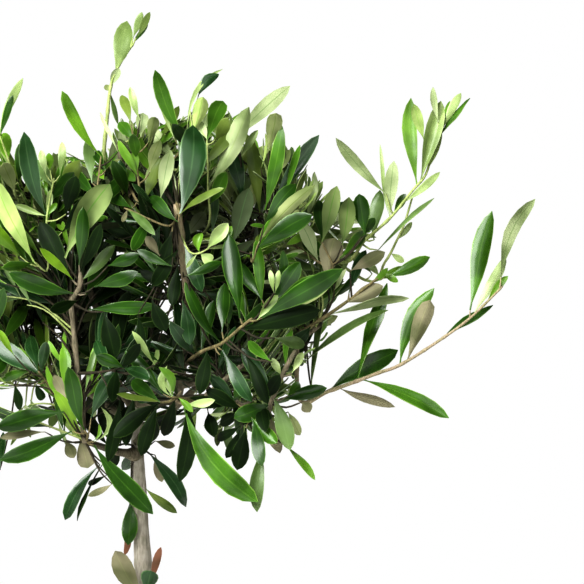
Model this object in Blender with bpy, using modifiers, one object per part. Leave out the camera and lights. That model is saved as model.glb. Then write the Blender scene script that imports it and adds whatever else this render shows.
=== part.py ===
"""Potted olive tree: a young standard with a bare stem and a loose head, in a plain clay pot.

The origin is the middle of the pot's flat underside, +Z is up and -Y is the front. Sizes are in
metres, written in millimetres times MM. Every limb and every mass of foliage is one closed body.
A mass grows from one stem by a seeded rule: shoots leave the stem, each shoot carries leaves in
opposite pairs, and what would leave the mass's own space or touch another limb is skipped.
"""

import math
import random
from dataclasses import dataclass

import bmesh
import bpy
from mathutils import Matrix, Vector
from mathutils.bvhtree import BVHTree
from mathutils.geometry import interpolate_bezier

MM = 0.001
GAP = 0.3 * MM  # clear space between pieces that touch on the real tree
SEED = 7

# Pot: a tapering body under a plain rim band.
POT_HEIGHT = 190 * MM
POT_FOOT_RADIUS = 74 * MM
POT_SHOULDER_RADIUS = 95 * MM  # just under the band
POT_RIM_RADIUS = 105 * MM
POT_RIM_HEIGHT = 34 * MM
POT_WALL = 8 * MM
POT_FLOOR = 11 * MM
POT_LIP_WALL = 12 * MM  # wall and rim band together
POT_BAND_TAPER = 1.5 * MM
POT_EDGE = 3 * MM  # rounding of the foot and the lip
POT_STEPS = 48

# Root ball of compost, a little lower than the rim and mounded towards the stem.
SOIL_LEVEL = 174 * MM
SOIL_FALL = 5 * MM
SOIL_FLAT_RADIUS = 26 * MM
SOIL_MOUND_RADIUS = 62 * MM

# Trunk: bare stem from the soil to the head of the crown.
TRUNK_FOOT = SOIL_LEVEL + GAP
TRUNK_TOP = 640 * MM
TRUNK_LEAN = Vector((-18, 6, 0)) * MM  # how far the head stands from over the foot
TRUNK_BOW = Vector((3, -4, 0)) * MM
TRUNK_FOOT_RADIUS = 11.5 * MM
TRUNK_TOP_RADIUS = 4.4 * MM
TRUNK_TAPER = 1.3
FLARE = 8 * MM
FLARE_HEIGHT = 16 * MM
FLARE_LOBES = 5
FLARE_LOBE_DEPTH = 0.4  # of the flare
TRUNK_RINGS = 26

# Boughs.
BOUGH_RADIUS = 0.7  # of the trunk's radius where it leaves
BOUGH_TIP_RADIUS = 2.4 * MM
BOUGH_COLLAR = 1.2  # swelling where a bough leaves the trunk
BOUGH_KNEE_OUT = 0.42  # share of its way out that a bough has gone at its knee
BOUGH_KNEE_RISE = 0.3  # and share of its rise
LEADER_KNEE_OUT = 0.35
LEADER_KNEE_RISE = 0.5
BOUGH_STEP = 16 * MM

# Twigs of a mass are three-sided; their radius is the distance to a corner.
STEM_RADIUS = 2.6 * MM
STEM_TIP_RADIUS = 1.7 * MM
OLD_WOOD = 4 * MM  # radius of the old leader, pruned to a stub
STEM_RUN_OUT = 8 * MM  # straight stretch at a stem's foot, in line with its bough
SHOOT_RADIUS = 2.0 * MM
SHOOT_TIP_RADIUS = 1.1 * MM
TWIG_STEP = 38 * MM

# Leaves: lance-shaped, in opposite pairs that turn a quarter from one pair to the next.
LEAF_LENGTH = 68 * MM
LEAF_WIDTH = 0.26  # of its length
LEAF_THICKNESS = 0.022  # of its length
LEAF_ARCH = 0.06  # rise of its middle, of its length
LEAF_FORWARD = 0.06  # how far past its middle it is widest, of its length
LEAF_SPREAD = (0.84, 1.1)  # how much leaves differ in length
LEAF_LIFT = 0.35  # pull of the light on its upper side, against the shoot's own direction
LEAF_TRIES = 4  # turns of a leaf that is in the way of another, before it is left out
LEAF_TRY_TURN = 0.45
LEAF_TRY_SHRINK = 0.07
TIP_LEAVES = (0.72, 0.9)  # length of a shoot's last two pairs, of its other leaves
TIP_OPENING = math.radians(24)  # angle of the last pair from the shoot
PAIR_OPENING = math.radians(47)
PAIR_OPENING_GAIN = math.radians(7)  # added from pair to pair, down the shoot
PAIR_OPENING_MOST = math.radians(62)
JITTER = 0.12  # seeded spread of angles
LEAF_SUNK = 0.35  # how far past the twig's middle its root lies, of the twig's radius
SAME_NODE = 5 * MM  # roots this close belong to one node and may meet in the twig
PAIR_SPACING = 27 * MM
LEAFY_LENGTH = 105 * MM  # stretch of a shoot that still has its leaves
LEAFY_SHARE = 0.85  # of a short shoot
SHOOT_BEND = 0.18  # how far a shoot first runs on with its stem, of its length
SHOOT_SAG = 0.05  # of its length
STEM_BARE = 0.12  # share of a stem below its lowest shoot

# Head of the crown, as an ellipsoid that the ordinary shoots end near.
CROWN_CENTRE = Vector((-12, 0, 704)) * MM
CROWN_REACH = Vector((176, 165, 160)) * MM
OUTER_SHOOTS = 92
INNER_SHOOTS = 34
INNER_REACH = 0.6  # of the crown's reach
LOWEST_SHOOT = -0.80  # of the crown's height, so that the stem stays bare
TIP_SPREAD = (0.86, 1.06)  # how far out shoots end, of the crown's reach
SPACE_MARGIN = 0.5 * MM  # least way from a leaf to the border of its mass's space


@dataclass(frozen=True)
class Mass:
    """One mass of foliage: where its bough leaves the trunk, and its stem's foot and end."""

    name: str
    bough_height: float
    stem_foot: Vector
    stem_end: Vector
    stem_radius: float = STEM_RADIUS
    knee: Vector | None = None


def place(x, y, z):
    """Return a point given in millimetres."""
    return Vector((x, y, z)) * MM


MASSES = (
    Mass("front_left", 551 * MM, place(-57, -58, 566), place(-72, -76, 694)),
    Mass("front_high", 562 * MM, place(28, -54, 690), place(20, -64, 775), OLD_WOOD, place(17, -14, 600)),
    Mass("back_right", 572 * MM, place(42, 56, 620), place(92, 98, 676)),
    Mass("left", 581 * MM, place(-82, 14, 624), place(-142, 4, 672)),
    Mass("back_left", 590 * MM, place(-50, 60, 630), place(-88, 100, 672)),
    Mass("front_right", 598 * MM, place(40, -66, 606), place(84, -92, 640)),
    Mass("right", 607 * MM, place(92, 0, 634), place(146, -8, 668)),
    Mass("left_high", 614 * MM, place(-70, -6, 722), place(-118, -12, 792)),
    Mass("back_high", 622 * MM, place(-2, 64, 714), place(8, 98, 790)),
    Mass("right_high", 630 * MM, place(74, 6, 734), place(126, 4, 778)),
    Mass("top", TRUNK_TOP, place(-20, 2, 750), place(-36, -6, 832)),
)


@dataclass(frozen=True)
class Shoot:
    """One long shoot: where on its mass's stem it starts, the points it runs by and its leaves."""

    mass: str
    at: float
    by: tuple
    pairs: int
    leaf: float
    turn: float


# Long shoots that stand out of the head and give it its reach.
LONG_SHOOTS = (
    Shoot("top", 0.8, (place(-46, -18, 846), place(-42, -20, 884), place(-26, -20, 918)), 4, 62 * MM, 0.9),
    Shoot("right", 0.7, (place(160, -28, 610), place(222, -40, 634), place(312, -48, 706)), 7, 80 * MM, 0.3),
    Shoot("right", 0.95, (place(166, -24, 684), place(206, -26, 712)), 3, 66 * MM, 1.2),
    Shoot("right_high", 0.6, (place(168, -16, 722), place(214, -18, 762), place(254, -18, 836)), 5, 74 * MM, 0),
    Shoot("right_high", 0.9, (place(176, 8, 780), place(224, 12, 812)), 4, 66 * MM, 1.0),
    Shoot("front_right", 0.3, (place(78, -112, 598), place(112, -128, 620), place(128, -132, 638)), 3, 78 * MM, 1),
    Shoot("front_right", 0.9, (place(88, -118, 662), place(120, -134, 690)), 4, 82 * MM, 0.0),
    Shoot("left", 0.8, (place(-188, -6, 664), place(-232, -10, 690)), 5, 68 * MM, 0.5),
    Shoot("left_high", 0.8, (place(-142, -8, 832), place(-158, -10, 872)), 4, 66 * MM, 0.4),
    Shoot("back_left", 0.8, (place(-116, 142, 680), place(-130, 190, 706)), 5, 68 * MM, 1.3),
    Shoot("back_right", 0.8, (place(118, 138, 688), place(142, 180, 726)), 5, 70 * MM, 0.1),
    Shoot("back_high", 0.8, (place(26, 124, 826), place(44, 136, 880)), 4, 64 * MM, 0.7),
)


def link(mesh_object, collection):
    """Put an object in one collection and return it."""
    collection.objects.link(mesh_object)
    return mesh_object


def hide(guide):
    """Mark an object as a guide or a cutter."""
    guide.hide_render = True
    guide.display_type = "WIRE"
    return guide


def material(name, colour, roughness):
    """Return a plain Principled material."""
    made = bpy.data.materials.new(name)
    made.use_nodes = True
    shader = made.node_tree.nodes["Principled BSDF"]
    shader.inputs["Base Color"].default_value = (*colour, 1.0)
    shader.inputs["Roughness"].default_value = roughness
    return made


def evaluated_mesh(shape):
    """Return a new mesh of an object with its modifiers or its bevel applied."""
    bpy.context.view_layer.update()
    graph = bpy.context.evaluated_depsgraph_get()
    return bpy.data.meshes.new_from_object(shape.evaluated_get(graph))


def route(points, step):
    """Return points about a step apart along a smooth curve through the given ones."""
    knots = [Vector(point) for point in points]
    ends = [2 * knots[0] - knots[1], *knots, 2 * knots[-1] - knots[-2]]
    path = []
    for before, start, end, after in zip(ends, knots, knots[1:], ends[3:]):
        count = max(2, round((end - start).length / step) + 1)
        handle_start = start + (end - before) / 6
        handle_end = end - (after - start) / 6
        path += interpolate_bezier(start, handle_start, handle_end, end, count)[:-1]
    return [*path, knots[-1]]


def tapered(start, end, count):
    """Return radii that go evenly from one to the other."""
    return [start + (end - start) * index / (count - 1) for index in range(count)]


def tube(name, path, radii, section=None, resolution=2):
    """Return a closed mesh object swept along a path, three-sided where a section is given."""
    curve = bpy.data.curves.new(name, "CURVE")
    curve.dimensions = "3D"
    spline = curve.splines.new("POLY")
    spline.points.add(len(path) - 1)
    for point, middle, radius in zip(spline.points, path, radii):
        point.co = (*middle, 1.0)
        point.radius = radius
    if section:
        curve.bevel_mode = "OBJECT"
        curve.bevel_object = section
    else:
        curve.bevel_depth = 1.0
        curve.bevel_resolution = resolution
    curve.use_fill_caps = True
    guide = bpy.data.objects.new(name, curve)
    bpy.context.scene.collection.objects.link(guide)
    mesh = evaluated_mesh(guide)
    bpy.data.objects.remove(guide)
    body = bmesh.new()
    body.from_mesh(mesh)
    bmesh.ops.remove_doubles(body, verts=body.verts, dist=0.001 * MM)
    bmesh.ops.recalc_face_normals(body, faces=body.faces)
    body.to_mesh(mesh)
    body.free()
    mesh.name = name
    return bpy.data.objects.new(name, mesh)


def twig_section(guides):
    """Return the three-sided section that twigs are swept from."""
    curve = bpy.data.curves.new("twig_section", "CURVE")
    curve.dimensions = "2D"
    spline = curve.splines.new("POLY")
    spline.points.add(2)
    for index, point in enumerate(spline.points):
        angle = math.tau * index / 3
        point.co = (math.cos(angle), math.sin(angle), 0.0, 1.0)
    spline.use_cyclic_u = True
    return hide(link(bpy.data.objects.new("twig_section", curve), guides))


def turned(name, profile, parts, clay):
    """Return a body of revolution from a profile that runs down its outer side."""
    mesh = bpy.data.meshes.new(name)
    body = bmesh.new()
    corners = [body.verts.new((radius, 0.0, height)) for radius, height in profile]
    for start, end in zip(corners, corners[1:]):
        body.edges.new((start, end))
    body.to_mesh(mesh)
    body.free()
    mesh.materials.append(clay)
    shape = link(bpy.data.objects.new(name, mesh), parts)
    screw = shape.modifiers.new("turn", "SCREW")
    screw.steps = POT_STEPS
    screw.render_steps = POT_STEPS
    screw.use_merge_vertices = True
    screw.merge_threshold = 0.01 * MM
    screw.use_normal_calculate = True
    return shape


def pot_inner_radius(height):
    """Return the radius of the pot's inner wall at a height."""
    share = (height - POT_FLOOR) / (POT_HEIGHT - POT_FLOOR)
    lip = POT_RIM_RADIUS - POT_LIP_WALL
    return (POT_FOOT_RADIUS - POT_WALL) * (1 - share) + lip * share


def make_pot(parts):
    """Make the clay pot: flat underside, tapering wall and a plain band at the rim."""
    band_foot = POT_HEIGHT - POT_RIM_HEIGHT
    band_radius = POT_RIM_RADIUS - POT_BAND_TAPER
    profile = [
        (0.0, POT_FLOOR),
        (pot_inner_radius(POT_FLOOR), POT_FLOOR),
        (pot_inner_radius(POT_HEIGHT), POT_HEIGHT - POT_EDGE),
        (pot_inner_radius(POT_HEIGHT) + POT_EDGE, POT_HEIGHT),
        (POT_RIM_RADIUS - POT_EDGE, POT_HEIGHT),
        (POT_RIM_RADIUS, POT_HEIGHT - POT_EDGE),
        (band_radius, band_foot + POT_EDGE),
        (band_radius - POT_EDGE, band_foot),
        (POT_SHOULDER_RADIUS, band_foot - POT_EDGE),
        (POT_FOOT_RADIUS, POT_EDGE),
        (POT_FOOT_RADIUS - POT_EDGE, 0.0),
        (0.0, 0.0),
    ]
    return turned("pot", profile, parts, material("fired clay", (0.45, 0.19, 0.11), 0.8))


def make_soil(parts):
    """Make the root ball, 0.3 mm clear of the pot and flat under the trunk."""
    floor = POT_FLOOR + GAP
    edge_height = SOIL_LEVEL - SOIL_FALL
    profile = [
        (0.0, SOIL_LEVEL),
        (SOIL_FLAT_RADIUS, SOIL_LEVEL),
        (SOIL_MOUND_RADIUS, SOIL_LEVEL - 0.5 * SOIL_FALL),
        (pot_inner_radius(edge_height) - 2 * GAP, edge_height),
        (pot_inner_radius(floor) - 2 * GAP, floor),
        (0.0, floor),
    ]
    return turned("root_ball", profile, parts, material("compost", (0.05, 0.034, 0.022), 0.95))


def trunk_middle(height):
    """Return the middle of the trunk at a height."""
    share = (height - TRUNK_FOOT) / (TRUNK_TOP - TRUNK_FOOT)
    lean = share * share * (3 - 2 * share)
    middle = TRUNK_LEAN * lean + TRUNK_BOW * math.sin(math.tau * share) * min(1.0, 4 * share)
    return middle + Vector((0, 0, height))


def trunk_radius(height):
    """Return the trunk's radius at a height, without its flare."""
    share = (height - TRUNK_FOOT) / (TRUNK_TOP - TRUNK_FOOT)
    return TRUNK_TOP_RADIUS + (TRUNK_FOOT_RADIUS - TRUNK_TOP_RADIUS) * (1 - share**TRUNK_TAPER)


def trunk_shape(name, clearance):
    """Return the trunk's mesh object, grown by a clearance."""
    spacing = (TRUNK_TOP - TRUNK_FOOT) / (TRUNK_RINGS - 1)
    heights = [TRUNK_FOOT + spacing * index for index in range(TRUNK_RINGS)]
    heights.insert(1, TRUNK_FOOT + 0.25 * spacing)
    path = [trunk_middle(height) for height in heights]
    path[1].xy = path[0].xy
    radii = [trunk_radius(height) + clearance for height in heights]
    trunk = tube(name, path, radii, resolution=5)
    for vertex in trunk.data.vertices:
        rise = vertex.co.z - TRUNK_FOOT
        outward = vertex.co - trunk_middle(vertex.co.z)
        lobe = 1 + FLARE_LOBE_DEPTH * math.cos(FLARE_LOBES * math.atan2(outward.y, outward.x))
        flare = FLARE * lobe * math.exp(-rise / FLARE_HEIGHT)
        outward.z = 0.0
        if outward.length > 0.5 * TRUNK_TOP_RADIUS:
            vertex.co += outward.normalized() * flare
    return trunk


def make_trunk(parts, bark):
    """Make the trunk from its flat cut at the soil to its head."""
    trunk = link(trunk_shape("trunk", 0.0), parts)
    trunk.data.materials.append(bark)
    trunk.data.shade_smooth()
    trunk.data.set_sharp_from_angle(angle=math.radians(50))
    return trunk


def bough_route(mass):
    """Return the points of a bough, from inside the trunk to the foot of its mass."""
    foot = trunk_middle(mass.bough_height)
    reach = mass.stem_foot - foot
    outward = Vector((reach.x, reach.y, 0.0))
    rise = Vector((0, 0, reach.z))
    if mass.bough_height >= TRUNK_TOP:
        foot = foot + Vector((0, 0, GAP))
        knee = foot + outward * LEADER_KNEE_OUT + rise * LEADER_KNEE_RISE
        return route((foot, knee, mass.stem_foot), BOUGH_STEP)
    knee = mass.knee or foot + outward * BOUGH_KNEE_OUT + rise * BOUGH_KNEE_RISE
    return route((foot, knee, mass.stem_foot), BOUGH_STEP)


def stem_route(mass):
    """Return the points of a mass's stem, which starts in line with its bough's tip."""
    before, tip = bough_route(mass)[-2:]
    direction = (tip - before).normalized()
    foot = tip + direction * GAP
    run_out = tip + direction * STEM_RUN_OUT
    return [foot, *route((run_out, (run_out + mass.stem_end) / 2, mass.stem_end), TWIG_STEP)]


def make_bough(mass, cutter, parts, bark):
    """Make one tapering bough, cut 0.3 mm clear of the trunk that it leaves."""
    path = bough_route(mass)
    foot_radius = BOUGH_RADIUS * trunk_radius(mass.bough_height)
    tip_radius = max(BOUGH_TIP_RADIUS, 0.9 * mass.stem_radius)
    radii = tapered(max(foot_radius, tip_radius), tip_radius, len(path))
    radii[0] *= BOUGH_COLLAR
    if mass.bough_height >= TRUNK_TOP:
        radii[0] = TRUNK_TOP_RADIUS
    bough = link(tube("bough_" + mass.name, path, radii), parts)
    bough.data.materials.append(bark)
    cut = bough.modifiers.new("clear of the trunk", "BOOLEAN")
    cut.object = cutter
    mesh = evaluated_mesh(bough)
    bough.modifiers.remove(cut)
    bough.data = mesh
    mesh.shade_smooth()
    mesh.set_sharp_from_angle(angle=math.radians(50))
    return bough


def nearest_on(point, start, end):
    """Return how far a point lies from a straight stem."""
    along = end - start
    share = (point - start).dot(along) / along.length_squared
    return (point - start - along * min(max(share, 0.0), 1.0)).length


def in_space(mass, points):
    """Tell whether points all lie nearer to this mass's stem than to any other's."""
    for point in points:
        own = nearest_on(point, mass.stem_foot, mass.stem_end) + SPACE_MARGIN
        for other in MASSES:
            if other is not mass and nearest_on(point, other.stem_foot, other.stem_end) < own:
                return False
    return True


def tree_of(shape):
    """Return a search tree of a mesh object's faces."""
    body = bmesh.new()
    body.from_mesh(shape.data)
    found = BVHTree.FromBMesh(body)
    body.free()
    return found


def leaf_mesh(length, width):
    """Return one leaf of 8 faces along +X, its upper side +Z, arched over its length."""
    body = bmesh.new()
    bmesh.ops.create_uvsphere(body, u_segments=4, v_segments=2, radius=1.0)
    bmesh.ops.triangulate(body, faces=body.faces)
    half_thickness = 0.5 * LEAF_THICKNESS * length
    for vertex in body.verts:
        side, flat, along = vertex.co
        arch = LEAF_ARCH * length * (1 - abs(along))
        forward = LEAF_FORWARD * length * (1 - abs(along))
        vertex.co = (
            0.5 * length * (1 + along) + forward,
            0.5 * width * side,
            half_thickness * flat + arch,
        )
    bmesh.ops.recalc_face_normals(body, faces=body.faces)
    return body


def leaf_frame(root, direction, upward):
    """Return the matrix that lays a leaf from a root along a direction, its upper side upward."""
    along = direction.normalized()
    across = upward.cross(along).normalized()
    return Matrix.Translation(root) @ Matrix((along, across, along.cross(across))).transposed().to_4x4()


class Grower:
    """Grows one mass of foliage from its stem."""

    def __init__(self, mass, section, limbs, guides, rng):
        self.mass = mass
        self.section = section
        self.limbs = limbs
        self.rng = rng
        self.pieces = bpy.data.collections.new("pieces_of_" + mass.name)
        guides.children.link(self.pieces)
        self.leaves = []
        self.stem_path = stem_route(mass)
        radii = tapered(mass.stem_radius, max(STEM_TIP_RADIUS, 0.9 * mass.stem_radius), len(self.stem_path))
        self.stem = tube("foliage_" + mass.name, self.stem_path, radii, section)

    def clear(self, body, points):
        """Tell whether a piece stays in the mass's space and off every limb."""
        if not in_space(self.mass, points):
            return False
        found = BVHTree.FromBMesh(body)
        return not any(found.overlap(limb) for limb in self.limbs)

    def grow_leaf(self, middle, twig_radius, direction, upward, length):
        """Fuse one leaf to a twig where there is room, and tell whether it was."""
        body = leaf_mesh(length, LEAF_WIDTH * length)
        root = middle - direction.normalized() * twig_radius * LEAF_SUNK
        body.transform(leaf_frame(root, direction, upward))
        points = [vertex.co.copy() for vertex in body.verts]
        found = BVHTree.FromBMesh(body)
        centre = sum(points, Vector()) / len(points)
        near = [
            tree
            for other_root, spot, tree in self.leaves
            if (spot - centre).length < 1.3 * length and (other_root - root).length > SAME_NODE
        ]
        crossed = any(found.overlap(tree) for tree in near)
        if crossed or not self.clear(body, points):
            body.free()
            return False
        self.leaves.append((root, centre, found))
        mesh = bpy.data.meshes.new("leaf")
        body.to_mesh(mesh)
        body.free()
        self.pieces.objects.link(bpy.data.objects.new("leaf", mesh))
        return True

    def grow_pair(self, middle, along, radius, turn, opening, length):
        """Grow two opposite leaves, each turned a little further where it meets another."""
        side = along.orthogonal().normalized()
        for half in range(2):
            for attempt in range(LEAF_TRIES):
                angle = turn + math.pi * half + self.rng.gauss(0, JITTER) + LEAF_TRY_TURN * attempt
                spread = opening + self.rng.gauss(0, JITTER)
                outward = Matrix.Rotation(angle, 3, along) @ side
                direction = along * math.cos(spread) + outward * math.sin(spread)
                upward = along * (1 - LEAF_LIFT) + Vector((0, 0, LEAF_LIFT))
                size = length * self.rng.uniform(*LEAF_SPREAD) * (1 - LEAF_TRY_SHRINK * attempt)
                if self.grow_leaf(middle, radius, direction, upward, size):
                    break

    def grow_shoot(self, points, pairs, length, turn):
        """Grow a shoot through the given points, with leaves on its outer stretch."""
        path = route(points, TWIG_STEP)
        if not in_space(self.mass, path[1:]):
            return False
        radii = tapered(SHOOT_RADIUS, SHOOT_TIP_RADIUS, len(path))
        twig = tube("shoot", path, radii, self.section)
        body = bmesh.new()
        body.from_mesh(twig.data)
        blocked = not self.clear(body, path[1:])
        body.free()
        if blocked:
            bpy.data.objects.remove(twig)
            return False
        self.pieces.objects.link(twig)
        lengths = [(end - start).length for start, end in zip(path, path[1:])]
        total = sum(lengths)
        spacing = min(PAIR_SPACING, total / (pairs + 0.5))
        for pair in range(pairs):
            distance = total - spacing * pair - SHOOT_TIP_RADIUS
            middle, along, share = self.walk(path, lengths, distance)
            radius = SHOOT_RADIUS + (SHOOT_TIP_RADIUS - SHOOT_RADIUS) * share
            opening = PAIR_OPENING + PAIR_OPENING_GAIN * (pair - 1)
            opening = min(opening, PAIR_OPENING_MOST) if pair else TIP_OPENING
            size = length * TIP_LEAVES[pair] if pair < len(TIP_LEAVES) else length
            self.grow_pair(middle, along, radius, turn + 0.5 * math.pi * pair, opening, size)
        return True

    @staticmethod
    def walk(path, lengths, distance):
        """Return the point, direction and share of the way at a distance along a path."""
        total = sum(lengths)
        left = distance
        for start, end, length in zip(path, path[1:], lengths):
            if left <= length:
                return start.lerp(end, left / length), (end - start).normalized(), distance / total
            left -= length
        return path[-1], (path[-1] - path[-2]).normalized(), 1.0

    def foot_on_stem(self, share):
        """Return a point on the stem and the stem's direction there."""
        lengths = [(end - start).length for start, end in zip(self.stem_path, self.stem_path[1:])]
        middle, along, _ = self.walk(self.stem_path, lengths, share * sum(lengths))
        return middle, along

    def grow_to(self, tip, at):
        """Grow one ordinary shoot from the stem to a tip in the crown."""
        foot, along = self.foot_on_stem(at)
        reach = tip - foot
        sag = Vector((0, 0, SHOOT_SAG)) * reach.length
        bend = foot + reach * 0.45 + along * SHOOT_BEND * reach.length - sag
        pairs = max(2, round(min(LEAFY_LENGTH, LEAFY_SHARE * reach.length) / PAIR_SPACING))
        length = LEAF_LENGTH * self.rng.uniform(*LEAF_SPREAD)
        return self.grow_shoot((foot, bend, tip), pairs, length, self.rng.uniform(0, math.pi))

    def joined(self, parts, leaf_green):
        """Join the stem, its shoots and its leaves into one closed body."""
        stem = link(self.stem, parts)
        join = stem.modifiers.new("join", "BOOLEAN")
        join.operation = "UNION"
        join.operand_type = "COLLECTION"
        join.collection = self.pieces
        for solver in ("EXACT", "MANIFOLD"):
            join.solver = solver
            mesh = evaluated_mesh(stem)
            if cleaned(mesh):
                break
        stem.modifiers.remove(join)
        stem.data = mesh
        mesh.materials.clear()
        mesh.materials.append(leaf_green)
        for piece in list(self.pieces.objects):
            bpy.data.objects.remove(piece)
        bpy.data.collections.remove(self.pieces)
        return stem


def cleaned(mesh):
    """Keep a joined mesh's largest body, and tell whether it is closed."""
    body = bmesh.new()
    body.from_mesh(mesh)
    bmesh.ops.triangulate(body, faces=body.faces)
    shells = []
    unseen = set(body.faces)
    while unseen:
        shell = [unseen.pop()]
        for face in shell:
            for edge in face.edges:
                for neighbour in edge.link_faces:
                    if neighbour in unseen:
                        unseen.remove(neighbour)
                        shell.append(neighbour)
        shells.append(shell)
    shells.sort(key=len)
    scraps = [face for shell in shells[:-1] for face in shell]
    bmesh.ops.delete(body, geom=scraps, context="FACES")
    closed = all(edge.is_manifold and edge.is_contiguous for edge in body.edges)
    body.to_mesh(mesh)
    body.free()
    return closed


def crown_tips(count, reach, rng):
    """Return points spread evenly over the crown, each moved a little in or out."""
    tips = []
    golden_angle = math.pi * (3 - math.sqrt(5))
    for index in range(count):
        height = 1 - 2 * (index + 0.5) / count
        if height < LOWEST_SHOOT:
            continue
        ring = math.sqrt(1 - height * height)
        angle = golden_angle * index + rng.gauss(0, JITTER)
        spot = Vector((ring * math.cos(angle), ring * math.sin(angle), height))
        spot *= reach * rng.uniform(*TIP_SPREAD)
        tips.append(CROWN_CENTRE + spot * CROWN_REACH)
    return tips


def tips_of(mass, tips):
    """Return the tips that lie in a mass's space, lowest on its stem first."""
    axis = mass.stem_end - mass.stem_foot
    own = [tip for tip in tips if in_space(mass, [tip])]
    return sorted(own, key=lambda tip: (tip - mass.stem_foot).dot(axis))


def make_foliage(mass, section, limbs, tips, parts, guides, leaf_green):
    """Grow one mass: its long shoots first, then ordinary ones up its stem."""
    grower = Grower(mass, section, limbs, guides, random.Random(f"{SEED} {mass.name}"))
    for shoot in LONG_SHOOTS:
        if shoot.mass == mass.name:
            foot, _ = grower.foot_on_stem(shoot.at)
            grower.grow_shoot((foot, *shoot.by), shoot.pairs, shoot.leaf, shoot.turn)
    own = tips_of(mass, tips)
    for index, tip in enumerate(own):
        grower.grow_to(tip, STEM_BARE + (1 - STEM_BARE) * (index + 0.5) / len(own))
    return grower.joined(parts, leaf_green)


def main():
    """Make the whole tree."""
    for old in list(bpy.data.objects):
        bpy.data.objects.remove(old)
    parts = bpy.data.collections.new("potted_olive_tree")
    guides = bpy.data.collections.new("guides")
    bpy.context.scene.collection.children.link(parts)
    bpy.context.scene.collection.children.link(guides)
    bark = material("olive bark", (0.34, 0.29, 0.23), 0.85)
    leaf_green = material("olive leaf", (0.10, 0.19, 0.06), 0.45)

    make_pot(parts)
    make_soil(parts)
    trunk = make_trunk(parts, bark)
    cutter = hide(link(trunk_shape("trunk_clearance", GAP), guides))
    boughs = [make_bough(mass, cutter, parts, bark) for mass in MASSES]

    section = twig_section(guides)
    limbs = [tree_of(limb) for limb in (trunk, *boughs)]
    rng = random.Random(SEED)
    tips = crown_tips(OUTER_SHOOTS, 1.0, rng) + crown_tips(INNER_SHOOTS, INNER_REACH, rng)
    for mass in MASSES:
        make_foliage(mass, section, limbs, tips, parts, guides, leaf_green)


main()
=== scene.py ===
"""Looks of a potted olive tree: bark, twigs, leaves, clay pot and compost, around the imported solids.

Sizes are in metres, written in millimetres times MM. The origin is the middle of the pot's flat
underside, +Z is up and -Y is the front. Shoots and leaves grow by one seeded rule. The sprays that
face the front are set one by one, by spots in the front view, each grown from its own mass's stem.
"""

import logging
import math
import random
from collections.abc import Iterable, Iterator, Mapping, Sequence
from dataclasses import dataclass, field
from enum import Enum

import bmesh
import bpy
from mathutils import Matrix, Vector, noise
from mathutils.bvhtree import BVHTree
from mathutils.geometry import interpolate_bezier


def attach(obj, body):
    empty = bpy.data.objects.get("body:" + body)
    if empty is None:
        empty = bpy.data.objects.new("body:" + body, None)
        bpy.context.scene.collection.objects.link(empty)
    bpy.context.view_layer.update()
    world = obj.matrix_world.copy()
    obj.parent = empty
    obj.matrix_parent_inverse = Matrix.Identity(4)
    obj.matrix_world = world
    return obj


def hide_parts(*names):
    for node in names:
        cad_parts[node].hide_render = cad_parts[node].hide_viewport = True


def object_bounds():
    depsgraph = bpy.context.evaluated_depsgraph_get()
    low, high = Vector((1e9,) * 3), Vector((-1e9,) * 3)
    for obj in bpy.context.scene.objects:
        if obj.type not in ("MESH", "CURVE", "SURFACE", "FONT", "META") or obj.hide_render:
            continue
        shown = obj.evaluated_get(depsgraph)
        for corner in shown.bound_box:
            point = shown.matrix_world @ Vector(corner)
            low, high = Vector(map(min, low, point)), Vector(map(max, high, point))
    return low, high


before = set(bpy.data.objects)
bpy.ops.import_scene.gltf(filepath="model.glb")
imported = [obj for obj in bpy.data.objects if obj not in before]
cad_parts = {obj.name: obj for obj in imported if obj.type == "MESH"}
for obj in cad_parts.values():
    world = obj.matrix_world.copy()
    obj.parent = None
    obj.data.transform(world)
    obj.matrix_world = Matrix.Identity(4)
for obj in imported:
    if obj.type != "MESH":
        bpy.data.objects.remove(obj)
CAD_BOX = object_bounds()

log = logging.getLogger("olive")

MM = 0.001
SEED = 7
GOLDEN_ANGLE = math.pi * (3 - math.sqrt(5))
BODY = "root"

Spot = tuple[float, float]
Range = tuple[float, float]
Square = tuple[int, int]
Colour = tuple[int, int, int]
Socket = bpy.types.NodeSocket
Material = bpy.types.Material
BMesh = bmesh.types.BMesh
Object = bpy.types.Object
Path = Sequence[Vector]


# ---- Front view ----


@dataclass(frozen=True)
class View:
    """The front view: a level camera in front of the head, and spots in its square picture."""

    middle: float = 120.6 * MM
    height: float = 698 * MM
    distance: float = 2.2
    width: float = 525.6 * MM
    pixels: int = 584
    sensor: float = 36.0

    def scale(self, near: float) -> float:
        """Return the size of a picture point at a distance in front of the trunk."""
        return self.width / self.pixels * (self.distance - near) / self.distance

    def spot(self, across: float, down: float, near: float) -> Vector:
        """Return the place of a spot in the view.

        Args:
            across: Picture points from the left edge.
            down: Picture points from the top edge.
            near: Distance in front of the trunk, towards the camera.

        Returns:
            The point in the tree's own frame.
        """
        scale = self.scale(near)
        sideways = self.middle + (across - 0.5 * self.pixels) * scale
        upward = self.height - (down - 0.5 * self.pixels) * scale
        return Vector((sideways, -near, upward))

    def seen(self, point: Vector) -> Spot:
        """Return where in the view a point shows."""
        scale = self.scale(-point.y)
        across = 0.5 * self.pixels + (point.x - self.middle) / scale
        down = 0.5 * self.pixels - (point.z - self.height) / scale
        return across, down

    def build(self) -> Object:
        """Make the camera.

        Returns:
            The camera.
        """
        lens = bpy.data.cameras.new("front_camera")
        lens.sensor_width = self.sensor
        lens.lens = self.sensor * self.distance / self.width
        lens.clip_end = 50.0
        camera = bpy.data.objects.new("front_camera", lens)
        camera.location = (self.middle, -self.distance, self.height)
        camera.rotation_euler = (math.radians(90), 0.0, 0.0)
        bpy.context.scene.collection.objects.link(camera)
        bpy.context.scene.camera = camera
        return camera


VIEW = View()


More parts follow.
